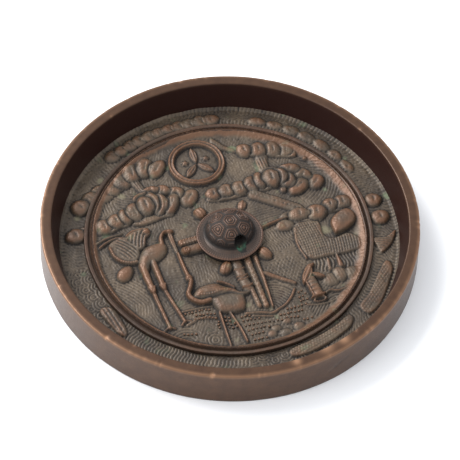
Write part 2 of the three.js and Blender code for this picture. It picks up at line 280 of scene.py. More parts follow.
# Pines, from the hindmost lobe to the foremost: place, breadth, depth, turn in degrees, rise.
# Each lobe is then made broader and lower, so that neighbours touch.
lobeShare = {"broad": 1.12, "deep": 1.1, "rise": 0.88}
pines = {
    "upperLeft": [
        ((-31.4, 26.6), 6.4, 4.6, 42, 1), ((-28.6, 28.6), 5.6, 5.6, 30, 1.3),
        ((-25.2, 30.4), 5.2, 6.6, 12, 1.6),
        ((-21.4, 32.3), 5.4, 7.2, -4, 1.8), ((-16.9, 33.3), 5, 7.4, -22, 1.8),
        ((-13.3, 31.8), 4.4, 7, -44, 1.7),
    ],
    "upperLeftBorder": [
        ((-33.4, 28.9), 5, 3, 38, 1.1), ((-36.4, 26.4), 5, 4.6, 36, 1.4), ((-40.2, 23.9), 5.6, 5.4, 28, 1.7),
    ],
    "left": [
        ((-35.3, 14.8), 4.9, 5.4, 6, 1.6), ((-31.3, 15.7), 4.8, 5.4, 8, 1.7),
        ((-27.9, 16.5), 4, 5.8, 8, 1.8),
        ((-24.9, 17.4), 4.8, 6.8, 5, 1.8),
    ],
    "leftCrown": [
        ((-7.2, 18), 4.8, 6.8, -45, 1.6), ((-10.6, 21), 4.9, 4.9, -20, 1.6),
        ((-14.3, 23.1), 4.9, 3.9, -15, 1.7),
        ((-17.8, 23.9), 5.2, 3.4, 0, 1.7), ((-21.8, 22.7), 4.8, 2.4, 20, 1.3),
        ((-13.3, 17.1), 4.4, 7.8, -34, 2),
        ((-16.8, 18.2), 5.4, 8, -12, 2), ((-18.9, 19.2), 4.9, 7.6, -6, 2.1), ((-21, 18.6), 5, 7.3, 3, 2.3),
    ],
    "leftBorder": [((-41.6, 14.7), 3.6, 3.6, 0, 1.2), ((-44.6, 13.8), 6, 5.2, 6, 1.7)],
    "right": [
        ((0.4, 17.3), 4.8, 4.7, 0, 1.6), ((4.7, 17.4), 5, 4.9, 0, 1.6), ((9, 17.1), 4.9, 5.4, 0, 1.7),
        ((12.9, 17.5), 4.4, 6.2, 0, 1.8), ((15.9, 18.1), 4, 6.5, -4, 1.9),
    ],
    "rightCrown": [
        ((32.2, 12.8), 5, 5.6, -40, 1.7), ((29.3, 16.7), 5.6, 4.4, -40, 1.6),
        ((25.9, 19.9), 6.8, 3.9, -12, 1.6),
        ((20, 20.9), 5.6, 3, -5, 1.4), ((26.5, 12.4), 4.7, 7.4, -60, 2), ((24.1, 15.6), 5, 5.8, -20, 2),
        ((22.2, 17.8), 4.9, 6.2, -12, 2.1), ((19.4, 17.9), 5.1, 6.9, 0, 2.3), ((21.6, 12.6), 2.2, 2, 0, 1),
    ],
    "upperRight": [
        ((27.4, 27.6), 4.6, 5, -12, 1.1), ((23.6, 28.9), 4.7, 5.8, -6, 1.5),
        ((19.2, 29.9), 4.8, 5.8, 0, 1.7),
        ((14.8, 31), 4.6, 5.2, 0, 1.6),
    ],
    "rock": [
        ((17.6, -0.5), 5.4, 4, 0, 1), ((19.4, 3.1), 4.4, 2.2, 12, 0.9), ((37.3, 2.9), 5.8, 5, 0, 1.7),
        ((33.4, 2.9), 4.2, 4.8, 0, 1.6), ((28.4, 1.3), 6.4, 5.6, 0, 1.8), ((23, 2.2), 6.4, 4.8, 0, 1.7),
    ],
    "rockBorder": [((46.8, 0.8), 5, 5, 0, 1.5), ((46.6, -6), 5.4, 5.2, 0, 1.5)],
}

# A row of like tufts: first and last place, bow to the side, how many, breadth and depth, rise
tuftRows = {
    "topBorder": ((-25, 40.6), (8.8, 46), -2.3, 11, (5.4, 4.6), 1),
    "rightBorder": ((22.6, 41.2), (43.8, 16), -3.2, 7, (6, 3.6), 0.6),
}

# Low rocks on the shore and the beach
rocks = [
    ((24.1, -23.9), 5.2, 4.8, 0, 0.8), ((31.3, -23.4), 5.6, 5.4, -20, 1), ((27.5, -22.7), 4.4, 5.6, 0, 1),
    ((2.7, -35.8), 3.2, 2.4, 0, 0.6), ((6.6, -34.3), 2.8, 2, 0, 0.5), ((1, -37.4), 3, 2.8, 0, 0.6),
    ((9.4, -37), 3.6, 3, 0, 0.7), ((5, -38), 3.6, 2.8, 0, 0.7),
]

# Single rounded forms, as above
mounds = {
    "pebble": ((-34.3, -4.1), 6.6, 4.6, 44, 1.5),
    "wingTail": ((-23.8, 9.1), 2.8, 2.2, 20, 1.5),
    "nearCraneHead": ((-17.1, 7.1), 3, 1.9, -12, 1.5),
    "feedingCraneHead": ((-16.5, -11.1), 2.7, 2.5, 70, 1.5),
    "leftForeFoot": ((-5.9, 11.2), 4.6, 4.2, 110, 1.7),
    "leftHindFoot": ((-4.7, -10.8), 5.4, 3.8, 50, 1.8),
    "rightHindFoot": ((8.3, -8.9), 5.2, 3.9, -65, 1.6),
    "rightForeFoot": ((7.4, 10.6), 4.4, 2.8, 60, 1),
    "knotByPine": ((32.1, 22.6), 1.8, 1.6, 0, 0.9),
}

# Rounded ridges: points, width at each end, rise, and for some a groove along the middle and the
# spacing of rings across
ridges = {
    "nearCraneNeck": ([(-20.6, 3), (-20.3, 5.2), (-19.3, 6.8), (-18, 7.4)], (1.8, 1), 1.6),
    "nearCraneBill": ([(-17.2, 5.8), (-17.1, 1.6), (-16.9, -2.6)], (1.6, 0.9), 0.95, 0.45),
    "feedingCraneBill": ([(-16.9, -1.6), (-16.8, -6), (-16.6, -9.9)], (1, 1.5), 1.2),
    "nearCraneLeftThigh": ([(-28.5, -3), (-28.5, -8), (-28.2, -12.8)], (2.8, 2.1), 1.6),
    "nearCraneRightThigh": ([(-25, -1.6), (-24.95, -8), (-24.8, -12.6)], (2.2, 1.9), 1.5),
    "nearCraneLeftShank": ([(-28.2, -13), (-27.3, -27)], (1.4, 1.1), 1.2, 0.3),
    "nearCraneRightShank": ([(-24.8, -12.8), (-22.4, -26)], (1.3, 1), 1.2, 0.3),
    "nearCraneLeftKnee": ([(-29.3, -11.4), (-28.2, -13.6), (-27.2, -11.4)], (0.5, 0.5), 1.75),
    "nearCraneRightKnee": ([(-25.8, -11.4), (-24.8, -13.4), (-23.9, -11.4)], (0.5, 0.5), 1.65),
    "nearCraneLeftToes": ([(-29.4, -27.6), (-27.4, -26.6), (-25.8, -27.4)], (0.8, 0.7), 0.7),
    "nearCraneRightToes": ([(-23.6, -26.8), (-22.2, -25.6), (-20.6, -26.2)], (0.8, 0.7), 0.7),
    "wingEdge": ([(-36, 6.4), (-35.6, 3.2), (-34.2, 0.8), (-31.8, -0.7), (-29.6, -0.9)], (1.1, 1.4), 1.25,
                 0, 0.75),
    "wingTop": ([(-38.8, 7.4), (-36.4, 8.7), (-33.4, 9.5), (-31.4, 9.1), (-30, 8.2)], (0.8, 0.8), 0.9),
    "tailTop": ([(-30, 9.2), (-28, 10.3), (-25, 10.4), (-23, 9.8)], (0.8, 0.8), 1.2),
    "feedingCraneNeck": ([(-16.2, -12.4), (-17.2, -14.6), (-18.5, -16.9), (-17.8, -19.2), (-15.6, -20.9),
                          (-13, -20.9)], (1.5, 2), 1.7),
    "feedingCraneFold": ([(-16, -18.4), (-14, -18.8), (-11.5, -19.2), (-8, -18.9), (-6, -19.2)],
                         (1, 0.6), 1.95, 0, 0.8),
    "feedingCraneLeftLeg": ([(-11.6, -25.8), (-12.1, -38)], (0.9, 0.8), 1),
    "feedingCraneRightLeg": ([(-8.6, -26.8), (-7.4, -33), (-7, -38)], (0.9, 0.8), 1),
    "turtleLowerJaw": ([(-9.4, -1.1), (-14.4, -1.3)], (3.6, 3.4), 1.6),
    "turtleUpperJaw": ([(-9.4, 1.7), (-15.2, 1.7)], (2.2, 1.6), 1.4),
    "turtleTail": ([(9.4, 0.3), (13.4, 1.2), (19.2, 2.2)], (1.2, 0.7), 1.1),
    "knottedBranch": ([(-1.1, -9), (-1.2, -14), (-0.7, -19.6)], (3.3, 3.4), 1.15),
    "branchBandOne": ([(-2.7, -12.4), (-1, -12.8), (0.5, -12.2)], (0.5, 0.5), 1.4),
    "branchBandTwo": ([(-2.8, -15.2), (-1, -15.6), (0.7, -14.9)], (0.5, 0.5), 1.5),
    "branchBandThree": ([(-2.7, -16.3), (-1, -16.7), (0.8, -15.9)], (0.5, 0.5), 1.5),
    "branchBandFour": ([(-2.2, -19.3), (-0.8, -19.6), (0.9, -18.9)], (0.7, 0.7), 1.6),
    "leftStem": ([(0.2, -19.8), (0.5, -26.8)], (1.7, 1.6), 0.95),
    "middleStem": ([(2.4, -8.8), (2.5, -27.3)], (2.2, 1.9), 1),
    "rightStem": ([(5, -9.4), (4.8, -19), (4.2, -28.2)], (1.6, 0.7), 1.05),
    "twig": ([(5.9, -16), (13.3, -21.9)], (1.7, 1.2), 0.85, 0.3),
    "cutStalk": ([(18.1, -22.4), (18.6, -28.6)], (3.7, 3.7), 1.5),
    "stalkEdge": ([(16.5, -23.4), (17, -28.6)], (0.6, 0.6), 1.8),
    "stalkLip": ([(16.3, -28.9), (18.4, -28.8), (20.5, -28.5)], (0.7, 0.7), 1.75),
    "rockUprightEdge": ([(20.4, -2.4), (19.1, -6), (18.9, -10), (19.7, -14.4)], (0.7, 0.7), 0.85),
    "spire": ([(28.9, -15.8), (28.8, -19.8)], (0.9, 1.9), 0.9),
    "spireLeft": ([(25.8, -16.4), (25.2, -20)], (0.8, 1.4), 0.6),
    "shoreLine": ([(-4.2, -28.3), (0, -29.1), (3.4, -30.2), (6, -29.3), (8.4, -28.3), (10.8, -26.2),
                   (12.5, -23.9)],
                  (0.9, 0.9), 0.6),
    "shoreLineLower": ([(-2.4, -29.6), (3, -31.3)], (0.7, 0.5), 0.5),
    "shoreLineLeft": ([(-22, -22.2), (-17, -22.3), (-13, -22.9)], (0.8, 0.6), 0.5),
    "sandBank": ([(-22, -27.2), (-20, -26.6), (-18.4, -25.9), (-15.6, -26.4), (-13.2, -27.2)], (0.9, 0.9),
                 0.45),
    "featherLine": ([(-8.9, -15), (-6.8, -16.2), (-4.6, -18.4)], (0.75, 0.7), 1.3),
    "smallTrunk": ([(-21.6, 29), (-20.6, 26.4), (-20, 24.6)], (3, 2.4), 0.7),
    "steppedTrunk": ([(19.2, 27), (18.6, 24.4), (18.4, 22)], (4.2, 3.6), 0.75),
    "hillLeft": ([(-40, 9), (-36, 10.4), (-31, 10.8)], (0.9, 0.7), 0.6),
    "mountainFoot": ([(14.2, -30.4), (18, -31.4), (23, -31), (27.4, -28.4)], (0.7, 0.6), 0.4),
    "mountainShore": ([(20.4, -28.6), (22.4, -27.5), (25, -28.4), (28.4, -27.6), (30.4, -26.2)], (0.8, 0.7),
                      0.65),
}

# Low forms: outline, rise, how far the edge is rounded, crown
slabs = {
    "nearCraneBody": ([(-19.5, 3), (-20.6, 3.9), (-23.4, 4), (-26.2, 3.3), (-28.2, 1), (-29.5, -1.6),
                       (-30, -4.8), (-28.4, -6), (-27, -5), (-25.9, -3.4), (-24.4, -2.9), (-22.6, -2.2),
                       (-20.3, -0.5), (-19.4, 1.4)], 1.75, 2.6, 0.1),
    "nearCraneWing": ([(-36.4, 6.6), (-35.4, 8.2), (-33, 9.2), (-31, 8.8), (-29, 7), (-27.6, 3.4),
                       (-28, 1.4),
                       (-29.6, -0.6), (-32.4, -0.6), (-35, 1.6), (-36, 4)], 0.8, 0.6, 0.1),
    "nearCraneTail": ([(-30, 9), (-28, 10.2), (-24.6, 10.4), (-22.6, 9.6), (-22.6, 8.2), (-24.4, 6.6),
                       (-25.2, 4.4), (-26.4, 3.2), (-28.2, 3.4), (-29.4, 6.6)], 0.95, 0.6, 0.1),
    "feedingCraneWing": ([(-17.5, -18), (-16, -16.1), (-14, -15.2), (-11, -15), (-9, -15.6), (-7, -17.3),
                          (-4.6, -18.8), (-3.5, -20.2), (-0.4, -21.2), (-3.4, -22.1), (-7, -20.8),
                          (-11, -20.6),
                          (-15, -20.2), (-17.2, -19.2)], 1.75, 2.8, 0.1),
    "feedingCraneBody": ([(-12.9, -20.6), (-12.6, -22.6), (-12.1, -24.4), (-11.4, -25.7), (-9.6, -26.7),
                          (-7, -27.3), (-4.6, -27.1), (-3.3, -25.6), (-2.8, -23.4), (-3.1, -21.4), (-6, -20),
                          (-10, -19.8)], 1.6, 2.2, 0.1),
    "rockInPine": ([(30.8, -8.2), (30.7, -5), (31.3, -3.2), (33.2, -1.4), (36.8, -0.1), (39, -1.4),
                    (39.4, -4),
                    (38, -6.3), (34.4, -8.1), (32, -8.6)], 1.7, 1, 0.5),
    "rockFace": ([(19.7, -1.6), (24, -1), (27.8, -2), (27.8, -7.4), (30.4, -9.4), (35.6, -9),
                  (38.4, -14.6), (33, -15.8), (27, -15.4), (21, -14.8), (19.2, -9)], 0.7, 0.5, 0.1),
    "lowerIsland": ([(4, -44.4), (12, -42.6), (19.4, -40.2), (24.6, -37.6), (25.6, -39.6),
                     (22.4, -42.8), (13, -46.4), (5, -47.2)], 0.6, 0.5, 0.1),
    "rightIsland": ([(29, -35.6), (33.6, -31.6), (38, -26.4), (42.4, -22), (43.6, -25), (40.6, -30),
                     (35.6, -36.4), (31, -39)], 0.6, 0.5, 0.1),
    "mooredBoat": ([(41.4, -12.8), (45.4, -13.6), (49.4, -12), (46.6, -16.4), (42.4, -19), (41.6, -16)],
                   0.7, 0.4, 0.15),
    "leftPineSkirt": ([(-37.6, 14), (-37.4, 12.3), (-34, 11.9), (-31, 12.7), (-27.5, 13.2), (-26, 14.1),
                       (-22, 14.5), (-20, 15.2), (-24, 17), (-36, 15.4)], 0.8, 0.5, 0.1),
    "leftPineLowerSkirt": ([(-26.8, 13.4), (-24.4, 11.9), (-20, 12.2), (-16.6, 13), (-14, 12.9), (-13, 15),
                            (-19, 15.6), (-22, 14.8)], 0.75, 0.4, 0.1),
    "upperLeftPineSkirt": ([(-30.4, 25.6), (-28, 26.2), (-26, 26.6), (-24, 27.8), (-21.5, 29), (-18.6, 29.8),
                            (-20, 32), (-27, 30), (-31, 27.6)], 0.8, 0.5, 0.1),
    "rightPineSkirt": ([(-2.2, 16.4), (-1.6, 14.8), (3, 14), (8, 13.9), (12, 14.4), (16, 14), (20, 14.2),
                        (21.4, 15),
                        (19, 17), (8, 17.6), (0, 17.6)], 0.7, 0.5, 0.1),
    "upperRightPineSkirt": ([(12.6, 30), (13.4, 29), (16.4, 28.2), (17.4, 27.4), (18.8, 26.9), (21.2, 26.9),
                             (23, 25.9), (24.9, 25.2), (29.4, 24), (29.8, 26.6), (23, 29.6), (14, 31)],
                            0.8, 0.5, 0.1),
    "rockPineSkirt": ([(19.6, 0.6), (20.6, -0.6), (24, -1), (27.6, -2.1), (29.8, -1.6), (31.6, 0),
                       (37, -0.2),
                       (40, 0.2), (39.4, 3), (22, 3)], 0.7, 0.5, 0.1),
    "farTrunk": ([(5.2, 33.6), (8.2, 33.2), (12.6, 30.8), (12.8, 32.2), (9.6, 34.8), (7, 38.6), (5.8, 38)],
                 0.5, 0.5, 0.1),
    "leftBorderTree": ([(-45.6, -15), (-41.4, -15), (-39.6, -24), (-42, -25)], 0.6, 0.6, 0.1),
}

# Pointed leaves over the cut stalk: from, to, breadth, rise
stalkLeaves = [
    ((17.2, -18.9), (21.2, -16.9), 1.7, 1.6), ((18.8, -20.2), (22.8, -22.7), 1.7, 1.7),
    ((15.6, -23.4), (19.9, -17.8), 3, 1.9),
]

# The ring's inner side: a slope that is broad at the right and narrow at the lower left, in degrees
innerSlope = {
    "top": 41.2, "rise": 1.15, "broad": 2.3, "broader": 0.9, "broadestAt": 5,
    "pinch": 0.7, "pinchAt": -125, "pinchSpan": 35,
}

# The cut stalk's hollow end; hollow and edge are shares of its breadth
stalkEnd = {"at": (18.6, -29.9), "broad": 1.75, "deep": 0.75, "edge": 1.25, "hollow": 0.8, "wall": 0.95,
            "floor": 0.25}

# Bough with scales, between the right pine and the rock
bough = ([(12.2, 13.4), (17.2, 9.6), (23.6, 4.4)], (3.8, 3.6), 0.95)

# Crest: a double ring round a spray of three leaves and two florets
crest = {
    "at": (-0.9, 30.3), "outer": 8.9, "inner": 6.9, "rise": 1.5, "groove": 0.55,
    "leafTurns": (90, 225, 315), "leafLong": 6.0, "leafBroad": 2.3, "leafStart": 0.3, "leafRise": 1.0,
    "floretTurns": (20, 160), "floretRing": 3.6, "floretRise": 0.7,
}


# Drawings on the forms, the later over the earlier: outline, pattern, soft edge
formTextures = [
    ([(22.4, -21), (33, -21.4), (31.6, -26), (24, -26)], lines(6, 0.9, 0.06)),
    ([(19.8, -2), (27.4, -2), (27.6, -8), (29, -9.6), (28.6, -15), (21, -14.6), (19.4, -9)],
     lambda x, y: lines(2, 0.82, 0.11, 0.012, (18, -8))(x, y) + lines(92, 0.95, 0.07, 0.01, (24, -8))(x, y)),
    ([(28, -9.4), (35.6, -9.4), (38, -14.4), (33, -15.4), (28, -15)],
     lambda x, y: lines(-8, 0.85, 0.14, 0.01, (33, -12))(x, y) + lines(88, 1.1, 0.03)(x, y)),
    ([(-34.4, 5.4), (-33.6, 8.4), (-31.4, 8.6), (-28.4, 5.4), (-28.4, 1.4), (-30.6, 0.4), (-33, 1.6)],
     lines(36, 1.05, 0.17, 0.03, (-31, 4.6))),
    ([(-29.6, 8.8), (-24.8, 10), (-24.4, 7), (-26, 3.6), (-28, 4), (-29.2, 6)],
     lines(158, 1.05, 0.18, 0.03, (-27, 7))),
    ([(-17, -17.4), (-12.6, -14.8), (-9, -14.8), (-4.4, -18.6), (-1.6, -21), (-9, -20), (-15, -18.8)],
     lambda x, y: 0.05 * np.cos(2 * np.pi * (y + 17.4 - 0.03 * (x + 10) ** 2) / 1.15)),
    ([(-12.6, -21.4), (-11.6, -25.4), (-7, -27), (-3.4, -24.6), (-3.2, -21.4)],
     lines(8, 0.95, 0.025, 0.02, (-8, -22))),
] + [
    # lower edges of the pines, pricked all over
    (slabs[name][0], dots(0.9, 0.08, 12), 0.3)
    for name in ("leftPineSkirt", "leftPineLowerSkirt", "upperLeftPineSkirt", "rightPineSkirt",
                 "upperRightPineSkirt", "rockPineSkirt", "farTrunk")
] + [
    ([(4.6, -44), (12, -42.2), (25, -38), (24.6, -40.4), (13, -46), (5, -46.8)], dots(1.0, 0.12, 18)),
    ([(29.4, -35.8), (38.2, -26), (42.6, -22.4), (40.4, -30), (31.2, -38.4)], dots(1.0, 0.12, 40)),
    ([(42, -13.6), (48.4, -12.8), (46.4, -16), (42.4, -18)], lines(66, 0.9, 0.13)),
    ([(-45.4, -15.2), (-41.4, -15.2), (-39.8, -24), (-42, -24.8)], lines(12, 1.2, 0.14)),
    ([(10.6, 14.6), (13.4, 12), (24.6, 2.8), (26, 5), (18, 12)], scales((1.3, 1.0), 0.13, -38)),
    ([(1.2, -9.6), (3.6, -9.6), (3.6, -28), (1.4, -28)],
     lambda x, y: 0.12 * np.cos(2 * np.pi * (y + 0.3 * x) / 1.6) * np.cos(2 * np.pi * x / 1.1), 0.2),
    ([(-0.8, -20), (1.3, -20), (1.4, -27), (-0.4, -27)], scales((0.9, 0.9), 0.12), 0.2),
    ([(16.4, -23), (19.9, -23), (20, -28), (17, -28)], lines(88, 1.5, 0.1, 0.05, (18.3, -25))),
    ([(-22.6, 28.6), (-17.6, 29.4), (-18, 24.6), (-21.6, 24.6)], lines(14, 0.85, 0.12)),
    ([(16.6, 26.4), (21, 26.2), (20.6, 22.4), (16.6, 22.6)], lines(2, 0.95, 0.13)),
    ([(33, 20.6), (36.6, 21), (38.4, 15), (35.4, 14.6)], lines(56, 0.9, 0.13, 0.01, (34, 18))),
]

# Drawings on the ground between them: sea, shores, banks and cut lines
groundTextures = [
    ([(6.4, -13.4), (12, -12), (18.6, -12.6), (18.2, -17), (16.4, -19.6), (13.8, -21.6), (6.2, -15.4)],
     scales((1.15, 1.05), 0.13, -4)),
    ([(6.2, -17.6), (11.8, -23.2), (11.6, -25), (9.6, -27.4), (5.4, -29), (5.6, -22)],
     lambda x, y: arcs((4.6, -28.6), 0.9, 0.11)(x, y) - 0.25),
    ([(21.6, -15.4), (38.4, -14.4), (37.6, -19), (33.4, -22), (23, -20.4)],
     lambda x, y: lines(3, 1.1, 0.19, 0.012, (29, -12))(x + 0.45 * np.sin(0.9 * y + 0.3 * x), y)),
    ([(12.6, -31), (19.4, -29.6), (20.6, -33.4), (14, -35.6)], lines(138, 0.85, 0.14)),
    ([(20.4, -29.4), (29, -27), (27, -31), (21, -33)], arcs((23.8, -34.6), 0.9, 0.14)),
    ([(5, 33), (12, 32), (12.4, 38.6), (6, 39)], dots(1.0, 0.09)),
    ([(8, 22), (14, 21), (15.6, 28), (10, 28)], dots(0.95, 0.07, 30)),
    ([(-33, 27), (-24, 25), (-30, 20), (-36, 19.6)], lines(20, 1.0, 0.09, 0.02, (-30, 30))),
    ([(-30, 24.6), (-22, 25), (-21, 22), (-28, 19)], arcs((-20, 33), 0.95, 0.09)),
    ([(-12, 13), (-1, 12), (-8, 8), (-14, 9)], arcs((-15, 4), 0.95, 0.08)),
    ([(-16, 2), (-11, 5), (-10, -6), (-16, -6)], lines(66, 0.95, 0.07, 0.03, (-13, 0))),
    ([(9, 9.4), (16, 8), (18, 3.4), (10.4, 3)], lines(96, 0.9, 0.09, 0.01, (12, 6))),
    ([(10.4, -1), (18.6, -1.6), (18.6, -7.8), (10, -8.6)],
     lambda x, y: lines(20, 0.85, 0.1, 0.01, (14, -5))(x + 0.3 * np.sin(1.1 * y), y)),
    ([(27, 12), (37.6, 14), (39.4, 6), (28, 6)], arcs((24, 16), 0.95, 0.09)),
    ([(32, 24), (36.6, 19), (35, 15), (29, 20.6)], lines(60, 0.9, 0.1)),
    ([(-38.6, -6), (-30, -8), (-30, -16), (-37, -15)], lines(38, 0.95, 0.09, 0.02, (-34, -11))),
    ([(-24, -4.6), (-18, -3), (-18.6, -13), (-24, -13)], lines(84, 0.95, 0.05)),
    ([(-19, -32), (-13, -31.6), (-12.6, -36), (-18, -36)], arcs((-15.6, -34.6), 1.0, 0.13)),
    ([(-28, -28.6), (-22, -27.6), (-19, -31), (-24, -33.6)], arcs((-24, -34), 1.0, 0.12)),
    ([(-21, -22.6), (-11.6, -22.6), (-11, -26), (-20, -26.6)], dots(1.1, 0.1, 4)),
    ([(-5.6, -29.8), (3, -31), (12, -29), (15, -34), (8, -38.6), (0, -39.6), (-6, -38)],
     dots(1.1, 0.09, -3)),
    ([(-14.6, -28.4), (-8.6, -28.4), (-8.4, -37), (-13, -37)], dots(1.1, 0.09, 8)),
]


def carveGround():
    # Bundles of fine lines, each its own way, as cut round the forms in the mould
    best = np.full(forms.shape, 1e9)
    spacing = 4.4
    for row in np.arange(-reach, reach, spacing):
        for column in np.arange(-reach, reach, spacing):
            at = np.array([column, row]) + random.uniform(-2, 2, 2)
            angle = random.uniform(0, 180)
            bend = random.uniform(-0.06, 0.06)
            if math.hypot(*at) > 54:
                continue
            area, x, y = window([at], 6)
            away = np.hypot(x - at[0], y - at[1])
            wins = away < best[area]
            best[area] = np.where(wins, away, best[area])
            ground[area] = np.where(wins, lines(angle, 0.85, 0.055, bend, at)(x, y), ground[area])


def carveBorder():
    # Waves and rocks round the border, where it has no trees
    area, x, y = window([(-52, -52), (52, 52)], 0)
    radius = np.hypot(x, y)
    bearing = np.degrees(np.arctan2(y, x))
    border = smooth((radius - 43.8) / 0.5)
    around = np.radians(bearing) * 48
    part = (around / 3.4) % 1 - 0.5
    stacked = 0.13 * np.cos(2 * np.pi * np.hypot(part * 3.4,
                                                 (radius + 20 * np.floor(around / 3.4)) % 3.8 - 0.6) / 0.95)
    slanted = 0.1 * np.cos(2 * np.pi * (radius * 0.6 + around * 0.8 + 0.5 * np.sin(radius * 1.3)) / 0.95)
    upright = 0.13 * np.cos(2 * np.pi * (around + 0.25 * np.sin(radius * 1.5)) / 1.05)
    waves = np.where((bearing > 178) | (bearing < -152) | ((bearing < -70) & (bearing > -100)), stacked,
                     slanted)
    waves = np.where((bearing > -152) & (bearing < -116), upright, waves)
    waves = np.where((bearing > 90) & (bearing < 160), 0.6 * slanted, waves)
    ground[area] = ground[area] * (1 - border) + waves * border


# Pointed leaf with an edge line and a vein
def raiseLeaf(start, end, broad, rise):
    start, end = np.array(start, float), np.array(end, float)
    run = end - start
    long = np.hypot(*run)
    area, x, y = window([start, end], broad)
    u = ((x - start[0]) * run[0] + (y - start[1]) * run[1]) / long ** 2
    v = ((y - start[1]) * run[0] - (x - start[0]) * run[1]) / long / (broad / 2)
    q = np.abs(v) / (np.sin(np.pi * np.clip(u, 0, 1)) ** 0.75 + 1e-3)
    leaf = rise * np.clip(1 - q ** 5, 0, None) ** 0.5 * ((u > 0) & (u < 1))
    leaf -= 0.5 * np.exp(-((q - 0.42) / 0.22) ** 2) * (q < 1)
    lift(area, np.clip(leaf, 0, None))


def carveCrest():
    x0, y0 = crest["at"]
    area, x, y = window([crest["at"]], crest["outer"] + 0.6)
    away = np.hypot(x - x0, y - y0)
    middle = (crest["outer"] + crest["inner"]) / 2
    half = (crest["outer"] - crest["inner"]) / 2
    across = (away - middle) / half
    band = crest["rise"] * np.clip(1 - np.abs(across) ** 6, 0, None) ** 0.5
    band -= crest["groove"] * np.exp(-(across / 0.3) ** 2) * (np.abs(across) < 1)
    forms[area] = np.where(away < crest["outer"], 0, forms[area])
    lift(area, np.clip(band, 0, None))
    floor = smooth((crest["inner"] - away) / 0.3)
    ground[area] = ground[area] * (1 - floor)
    for turn in crest["leafTurns"]:
        a = math.radians(turn)
        tip = crest["leafStart"] + crest["leafLong"]
        raiseLeaf((x0 + crest["leafStart"] * math.cos(a), y0 + crest["leafStart"] * math.sin(a)),
                  (x0 + tip * math.cos(a), y0 + tip * math.sin(a)), crest["leafBroad"], crest["leafRise"])
    for turn in crest["floretTurns"]:
        a = math.radians(turn)
        cx = x0 + crest["floretRing"] * math.cos(a)
        cy = y0 + crest["floretRing"] * math.sin(a)
        near = np.hypot(x - cx, y - cy)
        around = np.arctan2(y - cy, x - cx)
        petals = 0.85 + 0.45 * np.cos(2.5 * around) ** 2
        lift(area, crest["floretRise"] * np.clip(1 - (near / petals) ** 2, 0, None) ** 0.5)


# The turtle's head, feet and tail lie flat on the ground beyond the shell
def carveTurtle():
    for at, turn in (((-5.9, 11.2), 110), ((-5.1, -10.9), 60), ((8.4, -9.1), -60), ((7.4, 10.4), 65)):
        outline = [(at[0] + 2.6 * math.cos(a), at[1] + 2.6 * math.sin(a)) for a in np.linspace(0, 5.4, 7)]
        texture(marks, outline, lines(turn + 90, 1.1, 0.14, 0, at))
    area, x, y = window([(-14.2, -1.6)], 1.4)
    eye = np.hypot(x + 14.2, y + 1.6)
    lift(area, 2.1 * np.exp(-((eye - 0.8) / 0.34) ** 4))
    lift(area, 1.9 * (eye < 0.35))
    for start, end in (((-9.8, 2.6), (-15.4, 2.4)), ((-9.8, 1.1), (-15.2, 1.0))):
        raiseRidge([start, end], (0.8, 0.8), 1.65, rings=0.9)


def hollowStalkEnd(settings):
    x0, y0 = settings["at"]
    area, x, y = window([settings["at"]], 3)
    away = np.hypot((x - x0) / settings["broad"], (y - y0) / settings["deep"])
    inside = np.where(away < settings["hollow"], settings["floor"], settings["wall"])
    forms[area] = np.where(away < settings["edge"], inside, forms[area])


# Gaussian blur through the spectrum, spread in millimetres
def blurred(values, spread):
    waves = np.fft.fftfreq(values.shape[0], cell)[:, None] ** 2 + np.fft.rfftfreq(values.shape[1], cell) ** 2
    return np.fft.irfft2(np.fft.rfft2(values) * np.exp(-2 * (np.pi * spread) ** 2 * waves), values.shape)


# Random unevenness, blurred to this spread, with a deviation of 1
def cloud(spread):
    noise = blurred(random.normal(size=forms.shape), spread)
    return noise / noise.std()


def alongRow(start, end, bow, many, size, rise):
    start, end = np.array(start, float), np.array(end, float)
    run = end - start
    side = np.array([run[1], -run[0]]) / np.hypot(*run)
    for share in np.linspace(0, 1, many):
        at = start + run * share + side * 4 * share * (1 - share) * bow
        lean = math.atan2(run[1], run[0]) - math.atan2(4 * (1 - 2 * share) * bow, np.hypot(*run))
        raiseLobe(at, size[0] * random.uniform(0.9, 1.1), size[1] * random.uniform(0.9, 1.1),
                  math.degrees(lean), rise * random.uniform(0.94, 1.06), moat=0.25)


carveGround()
carveBorder()
for slab in slabs.values():
    raiseSlab(*slab)
for lobes in pines.values():
    for at, wide, deep, turn, rise in lobes:
        raiseLobe(at, wide * lobeShare["broad"], deep * lobeShare["deep"], turn, rise * lobeShare["rise"])
for row in tuftRows.values():
    alongRow(*row)
for rock in rocks:
    raiseLobe(*rock, dent=0, swell=2.4, moat=0.25)
for mound in mounds.values():
    raiseLobe(*mound, dent=0, swell=2.6, moat=0.2)
for ridge in ridges.values():
    raiseRidge(*ridge)
raiseRidge(*bough, swell=4)
for leaf in stalkLeaves:
    raiseLeaf(*leaf)
hollowStalkEnd(stalkEnd)
bearing = np.degrees(np.arctan2(gridY - ridgeRing["y"], gridX))
fromMiddle = np.hypot(gridX, gridY - ridgeRing["y"])
broad = innerSlope["broad"] + innerSlope["broader"] * np.cos(np.radians(bearing - innerSlope["broadestAt"]))
broad -= innerSlope["pinch"] * np.exp(-((bearing - innerSlope["pinchAt"]) / innerSlope["pinchSpan"]) ** 2)
slope = np.clip((fromMiddle - innerSlope["top"] + broad) / broad, 0, 1) ** 1.3
underRing = fromMiddle < 43
forms = np.maximum(np.maximum(forms, 0), innerSlope["rise"] * slope * underRing)
for drawing in formTextures:
    texture(marks, *drawing)
for drawing in groundTextures:
    texture(ground, *drawing)
carveTurtle()
carveCrest()

onForm = smooth(forms / 0.35)
uneven = cloud(1.6)
sandy = cloud(0.2)
relief = forms + marks * onForm + ground * (1 - onForm)
relief = blurred(relief, 0.075)
relief += 0.06 * uneven + 0.03 * sandy
print("back carved")

